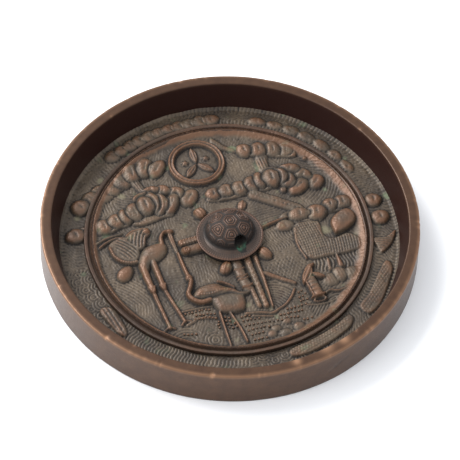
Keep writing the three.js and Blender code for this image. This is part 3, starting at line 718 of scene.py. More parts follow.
# How rubbed, how dirty and darkened by painted shade in the hollows, and how stained each place is, from 0
# to 1
stains = {   # place, size
    "pale": [((-26.6, 25.2), 1.7), ((29.4, -6), 2.3), ((37.4, -9.8), 1.5), ((-2.6, -25.6), 1.3),
             ((19.4, 12.4), 1.3),
             ((-10, -36.4), 1.5), ((3.6, -28.6), 1.2), ((46, -14), 2.2), ((-31, 32.4), 1.4),
             ((-42, 20.5), 1.4)],
    "green": [((-48, 7), 2.4), ((9.5, -46), 2.4), ((-46.5, -2), 2), ((48, -6), 1.2), ((36, 30), 2.6)],
}
broadShape = blurred(relief, 1.5)
nearShape = blurred(relief, 0.4)
mottle = cloud(0.9)
patches = cloud(3.2)
worn = smooth((relief - broadShape) / 0.7 + 0.12 * mottle) * smooth(forms / 0.6 + 0.25)
worn = np.maximum(worn, 0.9 * smooth(slope * 2 - 0.2 + 0.15 * mottle) * underRing)
# Dirt and painted shade: dark in narrow hollows, and fainter over broad low ground
grime = smooth((nearShape - relief - 0.01) / 0.12 + 0.08 * mottle)
grime = np.maximum(grime * (1 - 0.8 * worn), 0.35 * smooth((broadShape - relief) / 0.6))
pale = np.zeros(forms.shape)
green = np.zeros(forms.shape)
for layer, spots in ((pale, stains["pale"]), (green, stains["green"])):
    for at, size in spots:
        area, x, y = window([at], size * 2)
        layer[area] += np.exp(-((x - at[0]) ** 2 + (y - at[1]) ** 2) / size ** 2)
pale = smooth((pale * 1.1 + 0.3 * mottle - 0.6 + 0.06 * patches) * 1.2) * (1 - smooth(relief / 0.5))
green = 0.6 * smooth(green + 0.5 * mottle - 0.8) * (1 - 0.5 * worn)


def sample(layer, x, y):
    fx = np.clip((x + reach) / cell, 0, count - 1.001)
    fy = np.clip((y + reach) / cell, 0, count - 1.001)
    i, j = fx.astype(int), fy.astype(int)
    u, v = fx - i, fy - j
    return ((layer[j, i] * (1 - u) + layer[j, i + 1] * u) * (1 - v)
            + (layer[j + 1, i] * (1 - u) + layer[j + 1, i + 1] * u) * v)


# Materials

def linear(hexValue):
    channels = [int(hexValue[i:i + 2], 16) / 255 for i in (1, 3, 5)]
    return [c / 12.92 if c <= 0.04045 else ((c + 0.055) / 1.055) ** 2.4 for c in channels] + [1.0]


def addNode(tree, kind, settings=None, links=None, **choices):
    node = tree.nodes.new(kind)
    for name, value in choices.items():
        setattr(node, name, value)
    for name, value in (settings or {}).items():
        node.inputs[name].default_value = value
    for name, socket in (links or {}).items():
        tree.links.new(socket, node.inputs[name])
    return node


def perMetre(millimetres):
    return 1000 / millimetres


# Cast bronze under an old brown patina: cloudy brown, black dirt and painted shade in the hollows, and
# warmer where rubbed, and where a highlight is painted
def castBronze(name, settings):
    material = bpy.data.materials.new(name)
    material.use_nodes = True
    tree = material.node_tree
    tree.nodes.clear()
    place = addNode(tree, "ShaderNodeTexCoord").outputs["Object"]
    cloudy = addNode(tree, "ShaderNodeTexNoise", {"Scale": perMetre(settings["cloud"]), "Detail": 4.0,
                                                  "Roughness": 0.6}, {"Vector": place})
    fine = addNode(tree, "ShaderNodeTexNoise", {"Scale": perMetre(settings["grain"]), "Detail": 3.0,
                                                "Roughness": 0.65}, {"Vector": place})
    patina = addNode(tree, "ShaderNodeValToRGB", links={"Fac": cloudy.outputs["Fac"]})
    ramp = patina.color_ramp
    ramp.elements[0].position = 0.36
    ramp.elements[0].color = linear(settings["dark"])
    ramp.elements[1].position = 0.66
    ramp.elements[1].color = linear(settings["brown"])
    rubbedAndHighlight = addNode(tree, "ShaderNodeAttribute", attribute_name="worn").outputs["Fac"]
    dirtAndShade = addNode(tree, "ShaderNodeAttribute", attribute_name="grime").outputs["Fac"]
    stainAndWallShade = addNode(tree, "ShaderNodeAttribute", attribute_name="pale").outputs["Fac"]
    rust = addNode(tree, "ShaderNodeAttribute", attribute_name="green").outputs["Fac"]
    rubbedAndHighlightShare = addNode(tree, "ShaderNodeMath", {1: settings["rubAndHighlight"]}, {0: rubbedAndHighlight}, operation="MULTIPLY")
    dirtAndShadeShare = addNode(tree, "ShaderNodeMath", {1: settings["dirtAndShadeStrength"]}, {0: dirtAndShade}, operation="MULTIPLY")
    stainAndWallShadeShare = addNode(tree, "ShaderNodeMath", {1: settings["stainAndWallShade"]}, {0: stainAndWallShade}, operation="MULTIPLY")
    color = patina.outputs["Color"]
    # Layers over the patina: rubbed metal with painted highlights, dirt with painted shade in the hollows,
    # pale stains and the rim's inner wall in painted shade, green rust
    for share, tone in ((rubbedAndHighlightShare.outputs[0], "copper"), (dirtAndShadeShare.outputs[0], "dirtAndShadeTone"),
                        (stainAndWallShadeShare.outputs[0], "stainAndWallShadeTone"), (rust, "verdigris")):
        layer = addNode(tree, "ShaderNodeMix", {7: linear(settings[tone])}, {0: share, 6: color},
                        data_type="RGBA")
        color = layer.outputs[2]
    covered = addNode(tree, "ShaderNodeMath", links={0: stainAndWallShadeShare.outputs[0], 1: rust}, operation="MAXIMUM")
    stainDirtAndShade = addNode(tree, "ShaderNodeMath", links={0: covered.outputs[0], 1: dirtAndShadeShare.outputs[0]},
                      operation="MAXIMUM")
    metal = addNode(tree, "ShaderNodeMapRange", {"To Min": settings["metal"],
                                                 "To Max": settings["coveredMetal"]},
                    {"Value": stainDirtAndShade.outputs[0]})
    dull = addNode(tree, "ShaderNodeMapRange", {"To Min": settings["rough"],
                                                "To Max": settings["coveredRough"]},
                   {"Value": stainDirtAndShade.outputs[0]})
    glossy = addNode(tree, "ShaderNodeMath", {1: settings["polish"], 2: 0.0}, {0: rubbedAndHighlight},
                     operation="MULTIPLY")
    speckle = addNode(tree, "ShaderNodeMath", {1: 0.22}, {0: fine.outputs["Fac"]}, operation="MULTIPLY")
    roughened = addNode(tree, "ShaderNodeMath", links={0: dull.outputs[0], 1: speckle.outputs[0]},
                        operation="ADD")
    roughness = addNode(tree, "ShaderNodeMath", links={0: roughened.outputs[0], 1: glossy.outputs[0]},
                        operation="SUBTRACT", use_clamp=True)
    pitted = addNode(tree, "ShaderNodeBump", {"Strength": settings["pits"], "Distance": 0.09 * mm},
                     {"Height": fine.outputs["Fac"]})
    surface = addNode(tree, "ShaderNodeBsdfPrincipled",
                      links={"Base Color": color, "Metallic": metal.outputs[0],
                             "Roughness": roughness.outputs[0], "Normal": pitted.outputs[0]})
    addNode(tree, "ShaderNodeOutputMaterial", links={"Surface": surface.outputs[0]})
    return material


# What the bronzes share; cast grain is finer than 0.5 mm, and is drawn coarse enough to show
agedBronze = {
    "grain": 0.5, "pits": 0.5, "rubAndHighlight": 0.7, "dirtAndShadeStrength": 0.95, "stainAndWallShade": 0.8, "polish": 0.06,
    # Near black: the tone of dirt and of painted shade in the hollows
    "dirtAndShadeTone": "#120b07", "stainAndWallShadeTone": "#8c846c", "verdigris": "#5d6b50",
    "metal": 0.35, "coveredMetal": 0.05, "coveredRough": 0.7,
}

# Cast in a carved mould, never filed: a grainy dull brown, with orange brown on the tops
fieldBronze = castBronze("castBronzeBrownPatina", {**agedBronze,
    "cloud": 8, "dark": "#40362c", "brown": "#5e5040", "copper": "#69462e", "stainAndWallShadeTone": "#7b745a",
    "rubAndHighlight": 0.8, "stainAndWallShade": 0.6, "metal": 0.3, "rough": 0.36, "pits": 0.6,
})

# Cast, then rubbed by hand and cloth: smoother and redder along its top
ringBronze = castBronze("castBronzeRubbedRidge", {**agedBronze,
    "cloud": 7, "grain": 0.6, "dark": "#402e22", "brown": "#4d3a2b", "copper": "#5e3d28",
    "rubAndHighlight": 0.6, "dirtAndShadeStrength": 0.8, "rough": 0.32, "polish": 0.08, "coveredMetal": 0.1,
})

# Cast and handled for years: darker, smoother plates with black dirt and painted shade in their lines
knobBronze = castBronze("castBronzeHandledKnob", {**agedBronze,
    "cloud": 5, "dark": "#382b23", "brown": "#49382d", "copper": "#6b4630", "dirtAndShadeTone": "#0e0805",
    "verdigris": "#3f7a5e", "rough": 0.28,
})

# Turned and scraped after casting: even, smooth and soft in its gloss, bare copper brown at the nicks and
# along the outer edge, where it is also a painted highlight.
# Its stain tone is the deep red of the inner wall, which was never scraped, painted near black as painted
# shade.
rimBronze = castBronze("turnedBronzeRim", {**agedBronze,
    "cloud": 3, "grain": 0.6, "dark": "#422a19", "brown": "#4c3320", "copper": "#a0785a",
    "dirtAndShadeTone": "#22160e", "stainAndWallShadeTone": "#240a04", "rubAndHighlight": 0.8, "dirtAndShadeStrength": 0.6, "stainAndWallShade": 1.0, "metal": 0.4,
    "rough": 0.24, "polish": 0.0, "pits": 0.22, "coveredMetal": 0.2, "coveredRough": 0.3,
})

# Bronze rich in tin, ground flat and polished, gone dull: a pale yellow grey metal
faceBronze = castBronze("tarnishedMirrorFace", {**agedBronze,
    "cloud": 18, "grain": 1.0, "dark": "#5b5146", "brown": "#6f6557", "copper": "#8d7f68",
    "dirtAndShadeTone": "#3f362c", "rubAndHighlight": 0.6, "dirtAndShadeStrength": 0.6, "metal": 0.95, "rough": 0.14, "polish": 0.0,
    "pits": 0.12, "coveredMetal": 0.4, "coveredRough": 0.6,
})


# Pieces

def paint(mesh, layers):
    for layer in ("worn", "grime", "pale", "green"):
        attribute = mesh.attributes.get(layer) or mesh.attributes.new(layer, "FLOAT", "POINT")
        values = layers.get(layer, np.zeros(len(mesh.vertices)))
        attribute.data.foreach_set("value", np.asarray(values, np.float32))


def meshPiece(name, points, faces, layers, material):
    mesh = bpy.data.meshes.new(name)
    mesh.from_pydata(np.asarray(points) * mm, [], faces)
    mesh.polygons.foreach_set("use_smooth", np.ones(len(mesh.polygons), bool))
    paint(mesh, layers)
    mesh.materials.append(material)
    mesh.validate()
    mesh.update()
    return placed(name, mesh)


# The mesh's points in millimetres
def places(mesh):
    flat = np.empty(len(mesh.vertices) * 3, np.float32)
    mesh.vertices.foreach_get("co", flat)
    return flat.reshape(-1, 3).astype(float) / mm


def movePlaces(mesh, points):
    mesh.vertices.foreach_set("co", (np.asarray(points) * mm).astype(np.float32).ravel())
    mesh.update()


def finished(piece):
    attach(piece, "root")
    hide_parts("mirror")
    print(piece.name, "made,", sum(len(p.vertices) - 2 for p in piece.data.polygons), "triangles")


# A tree that takes one mesh and named inputs, with the identifiers that its modifier needs
def openTree(name, inputs):
    tree = bpy.data.node_groups.new(name, "GeometryNodeTree")
    tree.interface.new_socket("Geometry", in_out="INPUT", socket_type="NodeSocketGeometry")
    sockets = {label: tree.interface.new_socket(label, in_out="INPUT",
                                                socket_type="NodeSocket" + kind).identifier
               for label, kind in inputs.items()}
    tree.interface.new_socket("Geometry", in_out="OUTPUT", socket_type="NodeSocketGeometry")
    return tree, sockets, addNode(tree, "NodeGroupInput").outputs


# Ends a tree: real smooth geometry in its material
def closeTree(tree, geometry, material):
    shaded = addNode(tree, "GeometryNodeSetShadeSmooth", links={"Geometry": geometry})
    real = addNode(tree, "GeometryNodeRealizeInstances", links={"Geometry": shaded.outputs["Geometry"]})
    coated = addNode(tree, "GeometryNodeSetMaterial",
                     links={"Geometry": real.outputs["Geometry"], "Material": material})
    addNode(tree, "NodeGroupOutput", links={"Geometry": coated.outputs["Geometry"]})


# Runs a tree on bare points and edges, and keeps what it makes as a plain mesh
def grown(name, points, edges, tree, sockets, values):
    start = bpy.data.meshes.new(name + "Start")
    start.from_pydata(points, edges, [])
    source = placed(name + "Start", start)
    modifier = source.modifiers.new("grown", "NODES")
    modifier.node_group = tree
    for label, value in values.items():
        modifier[sockets[label]] = value
    mesh = bpy.data.meshes.new_from_object(source.evaluated_get(bpy.context.evaluated_depsgraph_get()))
    mesh.name = name
    bpy.data.objects.remove(source)
    return placed(name, mesh)


# Profile turned round the middle
def sweepTree():
    tree, sockets, given = openTree("turnedProfile", {"Path radius": "Float", "Steps": "Int",
                                                      "Merge distance": "Float", "Material": "Material"})
    profile = addNode(tree, "GeometryNodeMeshToCurve", links={"Mesh": given["Geometry"]})
    path = addNode(tree, "GeometryNodeCurvePrimitiveCircle",
                   links={"Radius": given["Path radius"], "Resolution": given["Steps"]})
    swept = addNode(tree, "GeometryNodeCurveToMesh",
                    links={"Curve": path.outputs["Curve"], "Profile Curve": profile.outputs["Curve"]})
    joined = addNode(tree, "GeometryNodeMergeByDistance",
                     links={"Geometry": swept.outputs["Mesh"], "Distance": given["Merge distance"]})
    closeTree(tree, joined.outputs["Geometry"], given["Material"])
    return tree, sockets


turning = sweepTree()


# The profile is given as radius and height; closed says whether it comes back to its start
def turned(name, profile, steps, material, closed):
    pathRadius = 50.0
    points = [((radius - pathRadius) * mm, -height * mm, 0) for radius, height in profile]
    edges = [(i, i + 1) for i in range(len(points) - 1)]
    if closed:
        edges.append((len(points) - 1, 0))
    return grown(name, points, edges, *turning, {
        "Path radius": pathRadius * mm, "Steps": steps, "Merge distance": 0.002 * mm, "Material": material})


# Rounds the corners of a profile; each corner is radius, height, rounding
def rounded(corners, steps, closed=False):
    points = []
    many = len(corners)
    for i, (x, y, bend) in enumerate(corners):
        here = np.array([x, y], float)
        if bend == 0 or (not closed and i in (0, many - 1)):
            points.append(here)
            continue
        before = np.array(corners[i - 1][:2], float) - here
        after = np.array(corners[(i + 1) % many][:2], float) - here
        before /= np.hypot(*before)
        after /= np.hypot(*after)
        for t in np.linspace(0, 1, steps):
            points.append(here + before * bend * (1 - t) ** 2 + after * bend * t ** 2)
    return points


# Adds points so that no step is longer than this
def divided(points, longest):
    out = [points[0]]
    for a, b in zip(points, points[1:]):
        many = max(1, int(math.ceil(np.hypot(*(b - a)) / longest)))
        out += [a + (b - a) * (k + 1) / many for k in range(many)]
    return out


rim = {
    "steps": 720,
    "edge": 0.55,          # rounding of the rim's corners
    "outOfRound": [(0.05, 2, 0.6), (0.03, 5, 2), (0.015, 23, 0)],
    "outOfLevel": [(0.035, 3, 1), (0.01, 31, 0)],
    "scrapedOff": 0.09,    # keeps the waver inside the nominal size
    "nicks": [             # bearing in degrees, width, depth
        (-113.6, 1.1, 0.28), (-147.6, 0.9, 0.25), (-129, 0.7, 0.12), (-100, 0.8, 0.1), (-171, 0.8, 0.14),
        (-62, 0.9, 0.12), (-20, 1.2, 0.12), (35, 1.0, 0.14), (88, 1.2, 0.15), (141, 0.8, 0.1),
    ],
    "innerNicks": [(-139, 0.9, 0.15), (-66, 1.0, 0.14), (24, 1.2, 0.12), (115, 1.0, 0.12)],
    "copperSpots": [((11.6, -51.9), 2.2), ((17.6, -51.2), 1.6), ((2, -54.5), 1.2)],
    "scratches": [(-73.5, 7.2, 3.2), (-76.2, 5.4, 2.2)],   # on the outer wall: bearing, height, half length
}


# Slow waver round an edge: each term's size, waves in a turn and start
def waver(turn, terms):
    return sum(size * np.sin(waves * turn + start) for size, waves, start in terms)


# How near each point is to a spot, from 0 to 1
def nearSpot(points, at, size):
    return np.exp(-((points - at) ** 2).sum(1) / size ** 2)


# How deep the rim is notched at each bearing
def notches(bearing, nicks):
    deep = np.zeros(len(bearing))
    for at, width, depth in nicks:
        turn = (bearing - at + 180) % 360 - 180
        deep += depth * np.exp(-(turn / width) ** 2 * 4)
    return deep


def makeDisc(settings):
    base = mirror["diameter"] / 2
    top = mirror["rimTop"] / 2
    inner = top - mirror["rimWidth"]
    high = mirror["height"]
    edge = settings["edge"]
    corners = [(0, 0, 0), (base, 0, edge), (top, high, edge), (inner, high, 0.4),
               (mirror["field"] + 0.3, 3.8, 0.7), (mirror["field"] + 0.1, mirror["bed"], 0.2),
               (0, mirror["bed"], 0)]
    points = rounded(corners, 6)
    flat = [points[0], np.array([30, 0.0]), np.array([48, 0.0])]
    wall = divided(points[1:-1], 0.75)
    ring = flat + wall + [np.array([46, mirror["bed"]]), np.array([20, mirror["bed"]]), points[-1]]
    piece = turned("discAndRim", ring, settings["steps"], rimBronze, closed=False)
    mesh = piece.data
    co = places(mesh)
    radius = np.hypot(co[:, 0], co[:, 1])
    bearing = np.degrees(np.arctan2(co[:, 1], co[:, 0]))
    out = co[:, :2] / np.maximum(radius, 1e-6)[:, None]
    onRim = smooth((radius - 50) / 2)
    # A casting turned by hand: never quite round or level
    wave = np.radians(bearing)
    radial = (onRim * waver(wave, settings["outOfRound"]) - settings["scrapedOff"]) * onRim
    level = -onRim * smooth((co[:, 2] - 6) / 5) * (0.045 + waver(wave, settings["outOfLevel"]))
    outerEdge = smooth((radius - top + 1.6) / 1.2) * smooth((co[:, 2] - high + 1.6) / 1.2)
    innerEdge = smooth((inner + 1.3 - radius) / 1.0) * smooth((co[:, 2] - high + 1.4) / 1.1)
    chipped = (notches(bearing, settings["nicks"]) * outerEdge
               + notches(bearing, settings["innerNicks"]) * innerEdge)
    dents = np.zeros(len(co))
    for at in random.uniform(-180, 180, 70):
        turn = (bearing - at + 180) % 360 - 180
        dents += random.uniform(0.02, 0.07) * np.exp(-(turn / random.uniform(0.25, 0.6)) ** 2) * outerEdge
    radial -= (chipped + dents) * np.where(innerEdge > outerEdge, -0.6, 0.6)
    level -= (chipped + dents) * 0.7
    scratched = np.zeros(len(co))
    outside = (radius > base - 0.6) & (co[:, 2] > 1)
    for at, height, half in settings["scratches"]:
        across = (bearing - at) * math.radians(1) * base
        off = np.abs(co[:, 2] - height - 0.35 * across)
        scratched += outside * np.exp(-(off / 0.3) ** 2) * smooth((half - np.abs(across)) / 0.6)
    co[:, :2] += out * (radial - 0.1 * np.clip(scratched, 0, 1))[:, None]
    co[:, 2] += level
    movePlaces(mesh, co)
    copper = sum(nearSpot(co[:, :2], at, size) for at, size in settings["copperSpots"]) * (co[:, 2] > 11)
    # The inner wall: its deep red patina, painted near black as painted shade
    innerWall = smooth((inner + 0.15 - radius) / 0.4) * smooth((co[:, 2] - 2.0) / 0.6)
    # Bare copper along the outer top edge: wear, and a painted highlight line
    ridge = np.exp(-((radius - top + 0.25) / 0.35) ** 2) * smooth((co[:, 2] - high + 1) / 0.5)
    paint(mesh, {
        "worn": np.clip(0.55 * ridge + copper + chipped * 3 + dents * 3, 0, 1),
        # Scratches on the outer wall, and darker towards its foot as painted shade
        "grime": np.clip(scratched + 0.5 * smooth((1.2 - co[:, 2]) / 1.2) * (radius > base - 1), 0, 1),
        "pale": innerWall,
    })
    # The reflecting face, underneath
    mesh.materials.append(faceBronze)
    slots = np.zeros(len(mesh.polygons), np.int32)
    middle = np.empty(len(mesh.polygons) * 3, np.float32)
    mesh.polygons.foreach_get("center", middle)
    middle = middle.reshape(-1, 3) / mm
    slots[(middle[:, 2] < 0.05) & (np.hypot(middle[:, 0], middle[:, 1]) < base - 0.6)] = 1
    mesh.polygons.foreach_set("material_index", slots)
    mesh.update()
    finished(piece)


makeDisc(rim)


ringWear = {
    "steps": 900, "sheenAt": (26, 34), "sheenSize": 9,
    "sway": [(0.12, 2, 1), (0.08, 5, 0), (0.04, 17, 0)], "heave": [(0.07, 4, 2), (0.05, 11, 0)],
}


def makeRing(sizes, settings):
    top = mirror["ground"] + sizes["rise"]
    low = mirror["ground"] - 0.6
    middle = (sizes["outer"] + sizes["inner"]) / 2
    floor = top - sizes["groove"] - 0.25
    corners = [(sizes["inner"] - 0.2, low, 0.1), (sizes["outer"] - 0.05, low, 0.1),
               (sizes["outer"] - 0.1, top - 0.5, 0.25), (sizes["outer"] - 0.3, top - 0.15, 0.15),
               (sizes["outer"] - 1.2, top - 0.2, 0.3), (sizes["outer"] - 1.75, floor - 0.15, 0.15),
               (sizes["outer"] - 2.2, top + 0.05, 0.3), (middle - 0.7, top - 0.05, 0.4),
               (sizes["inner"] + 0.25, top - 0.65, 0.3)]
    points = rounded(corners, 5, closed=True)
    piece = turned("ridgeRing", divided(points + [points[0]], 0.4)[:-1], settings["steps"], ringBronze,
                   closed=True)
    mesh = piece.data
    co = places(mesh)
    wave = np.arctan2(co[:, 1], co[:, 0])
    radius = np.hypot(co[:, 0], co[:, 1])
    out = co[:, :2] / radius[:, None]
    co[:, :2] += out * waver(wave, settings["sway"])[:, None]
    co[:, 1] += sizes["y"]
    raised = smooth((co[:, 2] - mirror["ground"] - 0.2) / 0.6)
    co[:, 2] += raised * (waver(wave, settings["heave"]) - 0.05
                          + 0.5 * sample(0.05 * uneven + 0.03 * sandy, co[:, 0], co[:, 1]))
    movePlaces(mesh, co)
    # A painted sheen at the back of the ring, laid into the rubbed layer
    sheen = nearSpot(co[:, :2], settings["sheenAt"], settings["sheenSize"])
    crestLine = smooth((co[:, 2] - top + 0.35) / 0.35)
    paint(mesh, {
        "worn": np.clip(0.75 * crestLine + sheen + 0.15 * sample(mottle, co[:, 0], co[:, 1]), 0, 1),
        # Darker at the ring's foot and below its crest: painted shade
        "grime": np.clip(0.75 * smooth((mirror["ground"] + 0.55 - co[:, 2]) / 0.4) + 0.35 * (1 - crestLine),
                         0, 1),
        "green": 0.6 * sample(green, co[:, 0], co[:, 1]),
    })
    finished(piece)


makeRing(ridgeRing, ringWear)


def surfaceLayers(x, y):
    layers = {"worn": worn, "grime": grime, "pale": pale, "green": green}
    return {name: sample(layer, x, y) for name, layer in layers.items()}


innerField = {"step": 0.24, "radius": 41.55, "bottom": 2.2}


def makeInnerField(settings):
    step = settings["step"]
    half = int(settings["radius"] / step) + 1
    side = 2 * half + 1
    line = (np.arange(side) - half) * step
    x, y = np.meshgrid(line, line + ridgeRing["y"])
    near = np.hypot(x, y - ridgeRing["y"]) <= settings["radius"]
    cells = near[:-1, :-1] & near[1:, :-1] & near[:-1, 1:] & near[1:, 1:]
    j, i = np.nonzero(cells)
    number = np.arange(side * side).reshape(side, side)
    quads = np.stack([number[j, i], number[j, i + 1], number[j + 1, i + 1], number[j + 1, i]], 1)
    used = np.unique(quads)
    renumber = np.full(side * side, -1)
    renumber[used] = np.arange(len(used))
    quads = renumber[quads]
    x, y = x.ravel()[used], y.ravel()[used]
    z = mirror["ground"] + sample(relief, x, y)
    # The wall down from the border, then a flat bottom round a middle point
    edges = np.concatenate([quads[:, [k, (k + 1) % 4]] for k in range(4)])
    keys = {(a, b) for a, b in edges.tolist()}
    border = np.array([(a, b) for a, b in keys if (b, a) not in keys])
    ring = np.unique(border)
    below = np.full(len(x), -1)
    below[ring] = len(x) + np.arange(len(ring))
    middle = len(x) + len(ring)
    wall = [(b, a, below[a], below[b]) for a, b in border.tolist()]
    floor = [(below[b], below[a], middle) for a, b in border.tolist()]
    allX = np.concatenate([x, x[ring], [0]])
    allY = np.concatenate([y, y[ring], [ridgeRing["y"]]])
    allZ = np.concatenate([z, np.full(len(ring) + 1, settings["bottom"])])
    finished(meshPiece("carvedScene", np.stack([allX, allY, allZ], 1), quads.tolist() + wall + floor,
                       surfaceLayers(allX, allY), fieldBronze))


makeInnerField(innerField)


outerField = {"from": 43.15, "to": 51.95, "rings": 37, "around": 1230, "bottom": 2.2}


def makeOuterField(settings):
    radii = np.linspace(settings["from"], settings["to"], settings["rings"])
    turns = np.arange(settings["around"]) * 2 * np.pi / settings["around"]
    r, a = np.meshgrid(radii, turns, indexing="ij")
    x, y = r * np.cos(a), r * np.sin(a)
    climb = 0.9 * smooth((r - 50.4) / 1.5) ** 2     # the ground turns up into the wall
    fade = 1 - 0.6 * smooth((r - 50.6) / 1.2)
    z = mirror["ground"] + sample(relief, x.ravel(), y.ravel()).reshape(x.shape) * fade + climb
    around, rows = settings["around"], settings["rings"]
    top = np.arange(rows * around).reshape(rows, around)
    bottom = rows * around + np.arange(2 * around).reshape(2, around)
    following = np.roll(np.arange(around), -1)

    def band(lower, upper):
        return np.stack([lower, upper, upper[following], lower[following]], 1).tolist()

    faces = []
    for k in range(rows - 1):
        faces += band(top[k], top[k + 1])
    faces += band(top[-1], bottom[1]) + band(bottom[1], bottom[0]) + band(bottom[0], top[0])
    flat = np.stack([x.ravel(), y.ravel(), z.ravel()], 1)
    under = [np.stack([radius * np.cos(turns), radius * np.sin(turns), np.full(around, settings["bottom"])],
                      1)
             for radius in (settings["from"], settings["to"])]
    points = np.vstack([flat] + under)
    finished(meshPiece("carvedBorder", points, faces, surfaceLayers(points[:, 0], points[:, 1]),
                       fieldBronze))


makeOuterField(outerField)


knob = {
    "across": 20.4, "deep": 19.8, "shoulder": 2.0,
    "domeAt": (0.3, 1.0), "domeAcross": 15.0, "domeDeep": 14.2, "domeTop": 7.65,
    "scute": 4.3,         # spacing of the shell's plates
    "flutes": 84,         # on the skirt
    "bore": 3.4, "boreRise": 4.0, "boreX": 0.9, "boreTurn": 0.13,
    "skirt": ((0, 2.4), (0.7, 2.4), (0.78, 2.0), (0.86, 1.78), (0.92, 1.98), (0.965, 2.08), (0.985, 1.92),
              (1, 1.55)),    # share of the way out, and height
    "rows": 118, "around": 324,
    "stains": {      # in the bore's mouth: place, size, strength
        "green": [((2.4, -5.8, 6.1), 0.7, 1.3), ((0.9, -6.2, 5.0), 0.8, 0.91)],
        "pale": [((1.4, -5.6, 5.3), 0.6, 1.0)],
    },
}


# Six-sided plates round a middle one, each with its own rings and boss
def plateRelief(x, y, spacing):
    plates = [(0.0, 0.0)]
    for ring in (1, 2):
        for k in range(6 * ring):
            turn = math.radians(60 / ring * k + 18)
            plates.append((spacing * ring * math.cos(turn), spacing * ring * math.sin(turn)))
    gaps = np.sort(np.stack([np.hypot(x - px, y - py) for px, py in plates]), axis=0)
    edge = (gaps[1] - gaps[0]) / 2
    rings = 0.12 * np.cos(2 * np.pi * edge / 0.62) * smooth((edge - 0.15) / 0.2)
    return rings - 0.2 * np.exp(-(edge / 0.16) ** 2) + 0.15 * np.exp(-(gaps[0] / 0.4) ** 2)


# Cord hole, a little ragged at its mouths, with its stains, and dark inside as painted shade
def drillCordHole(piece, settings):
    bore = bmesh.new()
    sides, length, reaches = 28, 30, 10.5
    c, s = math.cos(settings["boreTurn"]), math.sin(settings["boreTurn"])
    rings = []
    for k in range(length + 1):
        along = reaches * (2 * k / length - 1)
        loop = []
        for m in range(sides):
            t = 2 * math.pi * m / sides
            ragged = 1 + 0.06 * math.sin(3 * t + along) + 0.04 * math.sin(5 * t - 2 * along)
            r = settings["bore"] / 2 * ragged
            r *= 1 + 0.22 * math.exp(-((abs(along) - 5.2) / 1.2) ** 2)
            sideways = r * math.cos(t)
            px = settings["boreX"] + sideways * c - along * s
            py = sideways * s + along * c
            pz = mirror["ground"] + settings["boreRise"] + r * math.sin(t)
            loop.append(bore.verts.new((px * mm, py * mm, pz * mm)))
        rings.append(loop)
    for lower, upper in zip(rings, rings[1:]):
        for m in range(sides):
            n = (m + 1) % sides
            bore.faces.new((lower[m], upper[m], upper[n], lower[n]))
    bore.faces.new(rings[0])
    bore.faces.new(list(reversed(rings[-1])))
    bmesh.ops.recalc_face_normals(bore, faces=bore.faces)
    cutterMesh = bpy.data.meshes.new("cordHole")
    bore.to_mesh(cutterMesh)
    bore.free()
    modifier = piece.modifiers.new("cordHole", "BOOLEAN")
    modifier.operation = "DIFFERENCE"
    modifier.solver = "EXACT"
    modifier.object = placed("cordHole", cutterMesh)
    drilled = bpy.data.meshes.new_from_object(piece.evaluated_get(bpy.context.evaluated_depsgraph_get()))
    bpy.data.objects.remove(modifier.object)
    piece.modifiers.clear()
    piece.data = drilled
    drilled.name = "turtleKnob"
    drilled.polygons.foreach_set("use_smooth", np.ones(len(drilled.polygons), bool))
    co = places(drilled)
    acrossBore = (co[:, 0] - settings["boreX"]) * c + co[:, 1] * s
    fromAxis = np.hypot(acrossBore, co[:, 2] - mirror["ground"] - settings["boreRise"])
    inBore = (fromAxis < settings["bore"] / 2 * 1.3) & (np.abs(co[:, 1]) < 8)
    read = {}
    for layer in ("worn", "grime"):
        read[layer] = np.zeros(len(co), np.float32)
        drilled.attributes[layer].data.foreach_get("value", read[layer])
    for layer, spots in settings["stains"].items():
        near = sum(strength * nearSpot(co, at, size) for at, size, strength in spots)
        read[layer] = np.clip(near, 0, 1) * inBore
    # Inside the bore: no wear, and full darkness as painted shade
    paint(drilled, {
        "worn": np.where(inBore, 0.0, read["worn"]),
        "grime": np.where(inBore, 1.0, read["grime"]),
        "pale": read["pale"],
        "green": read["green"],
    })


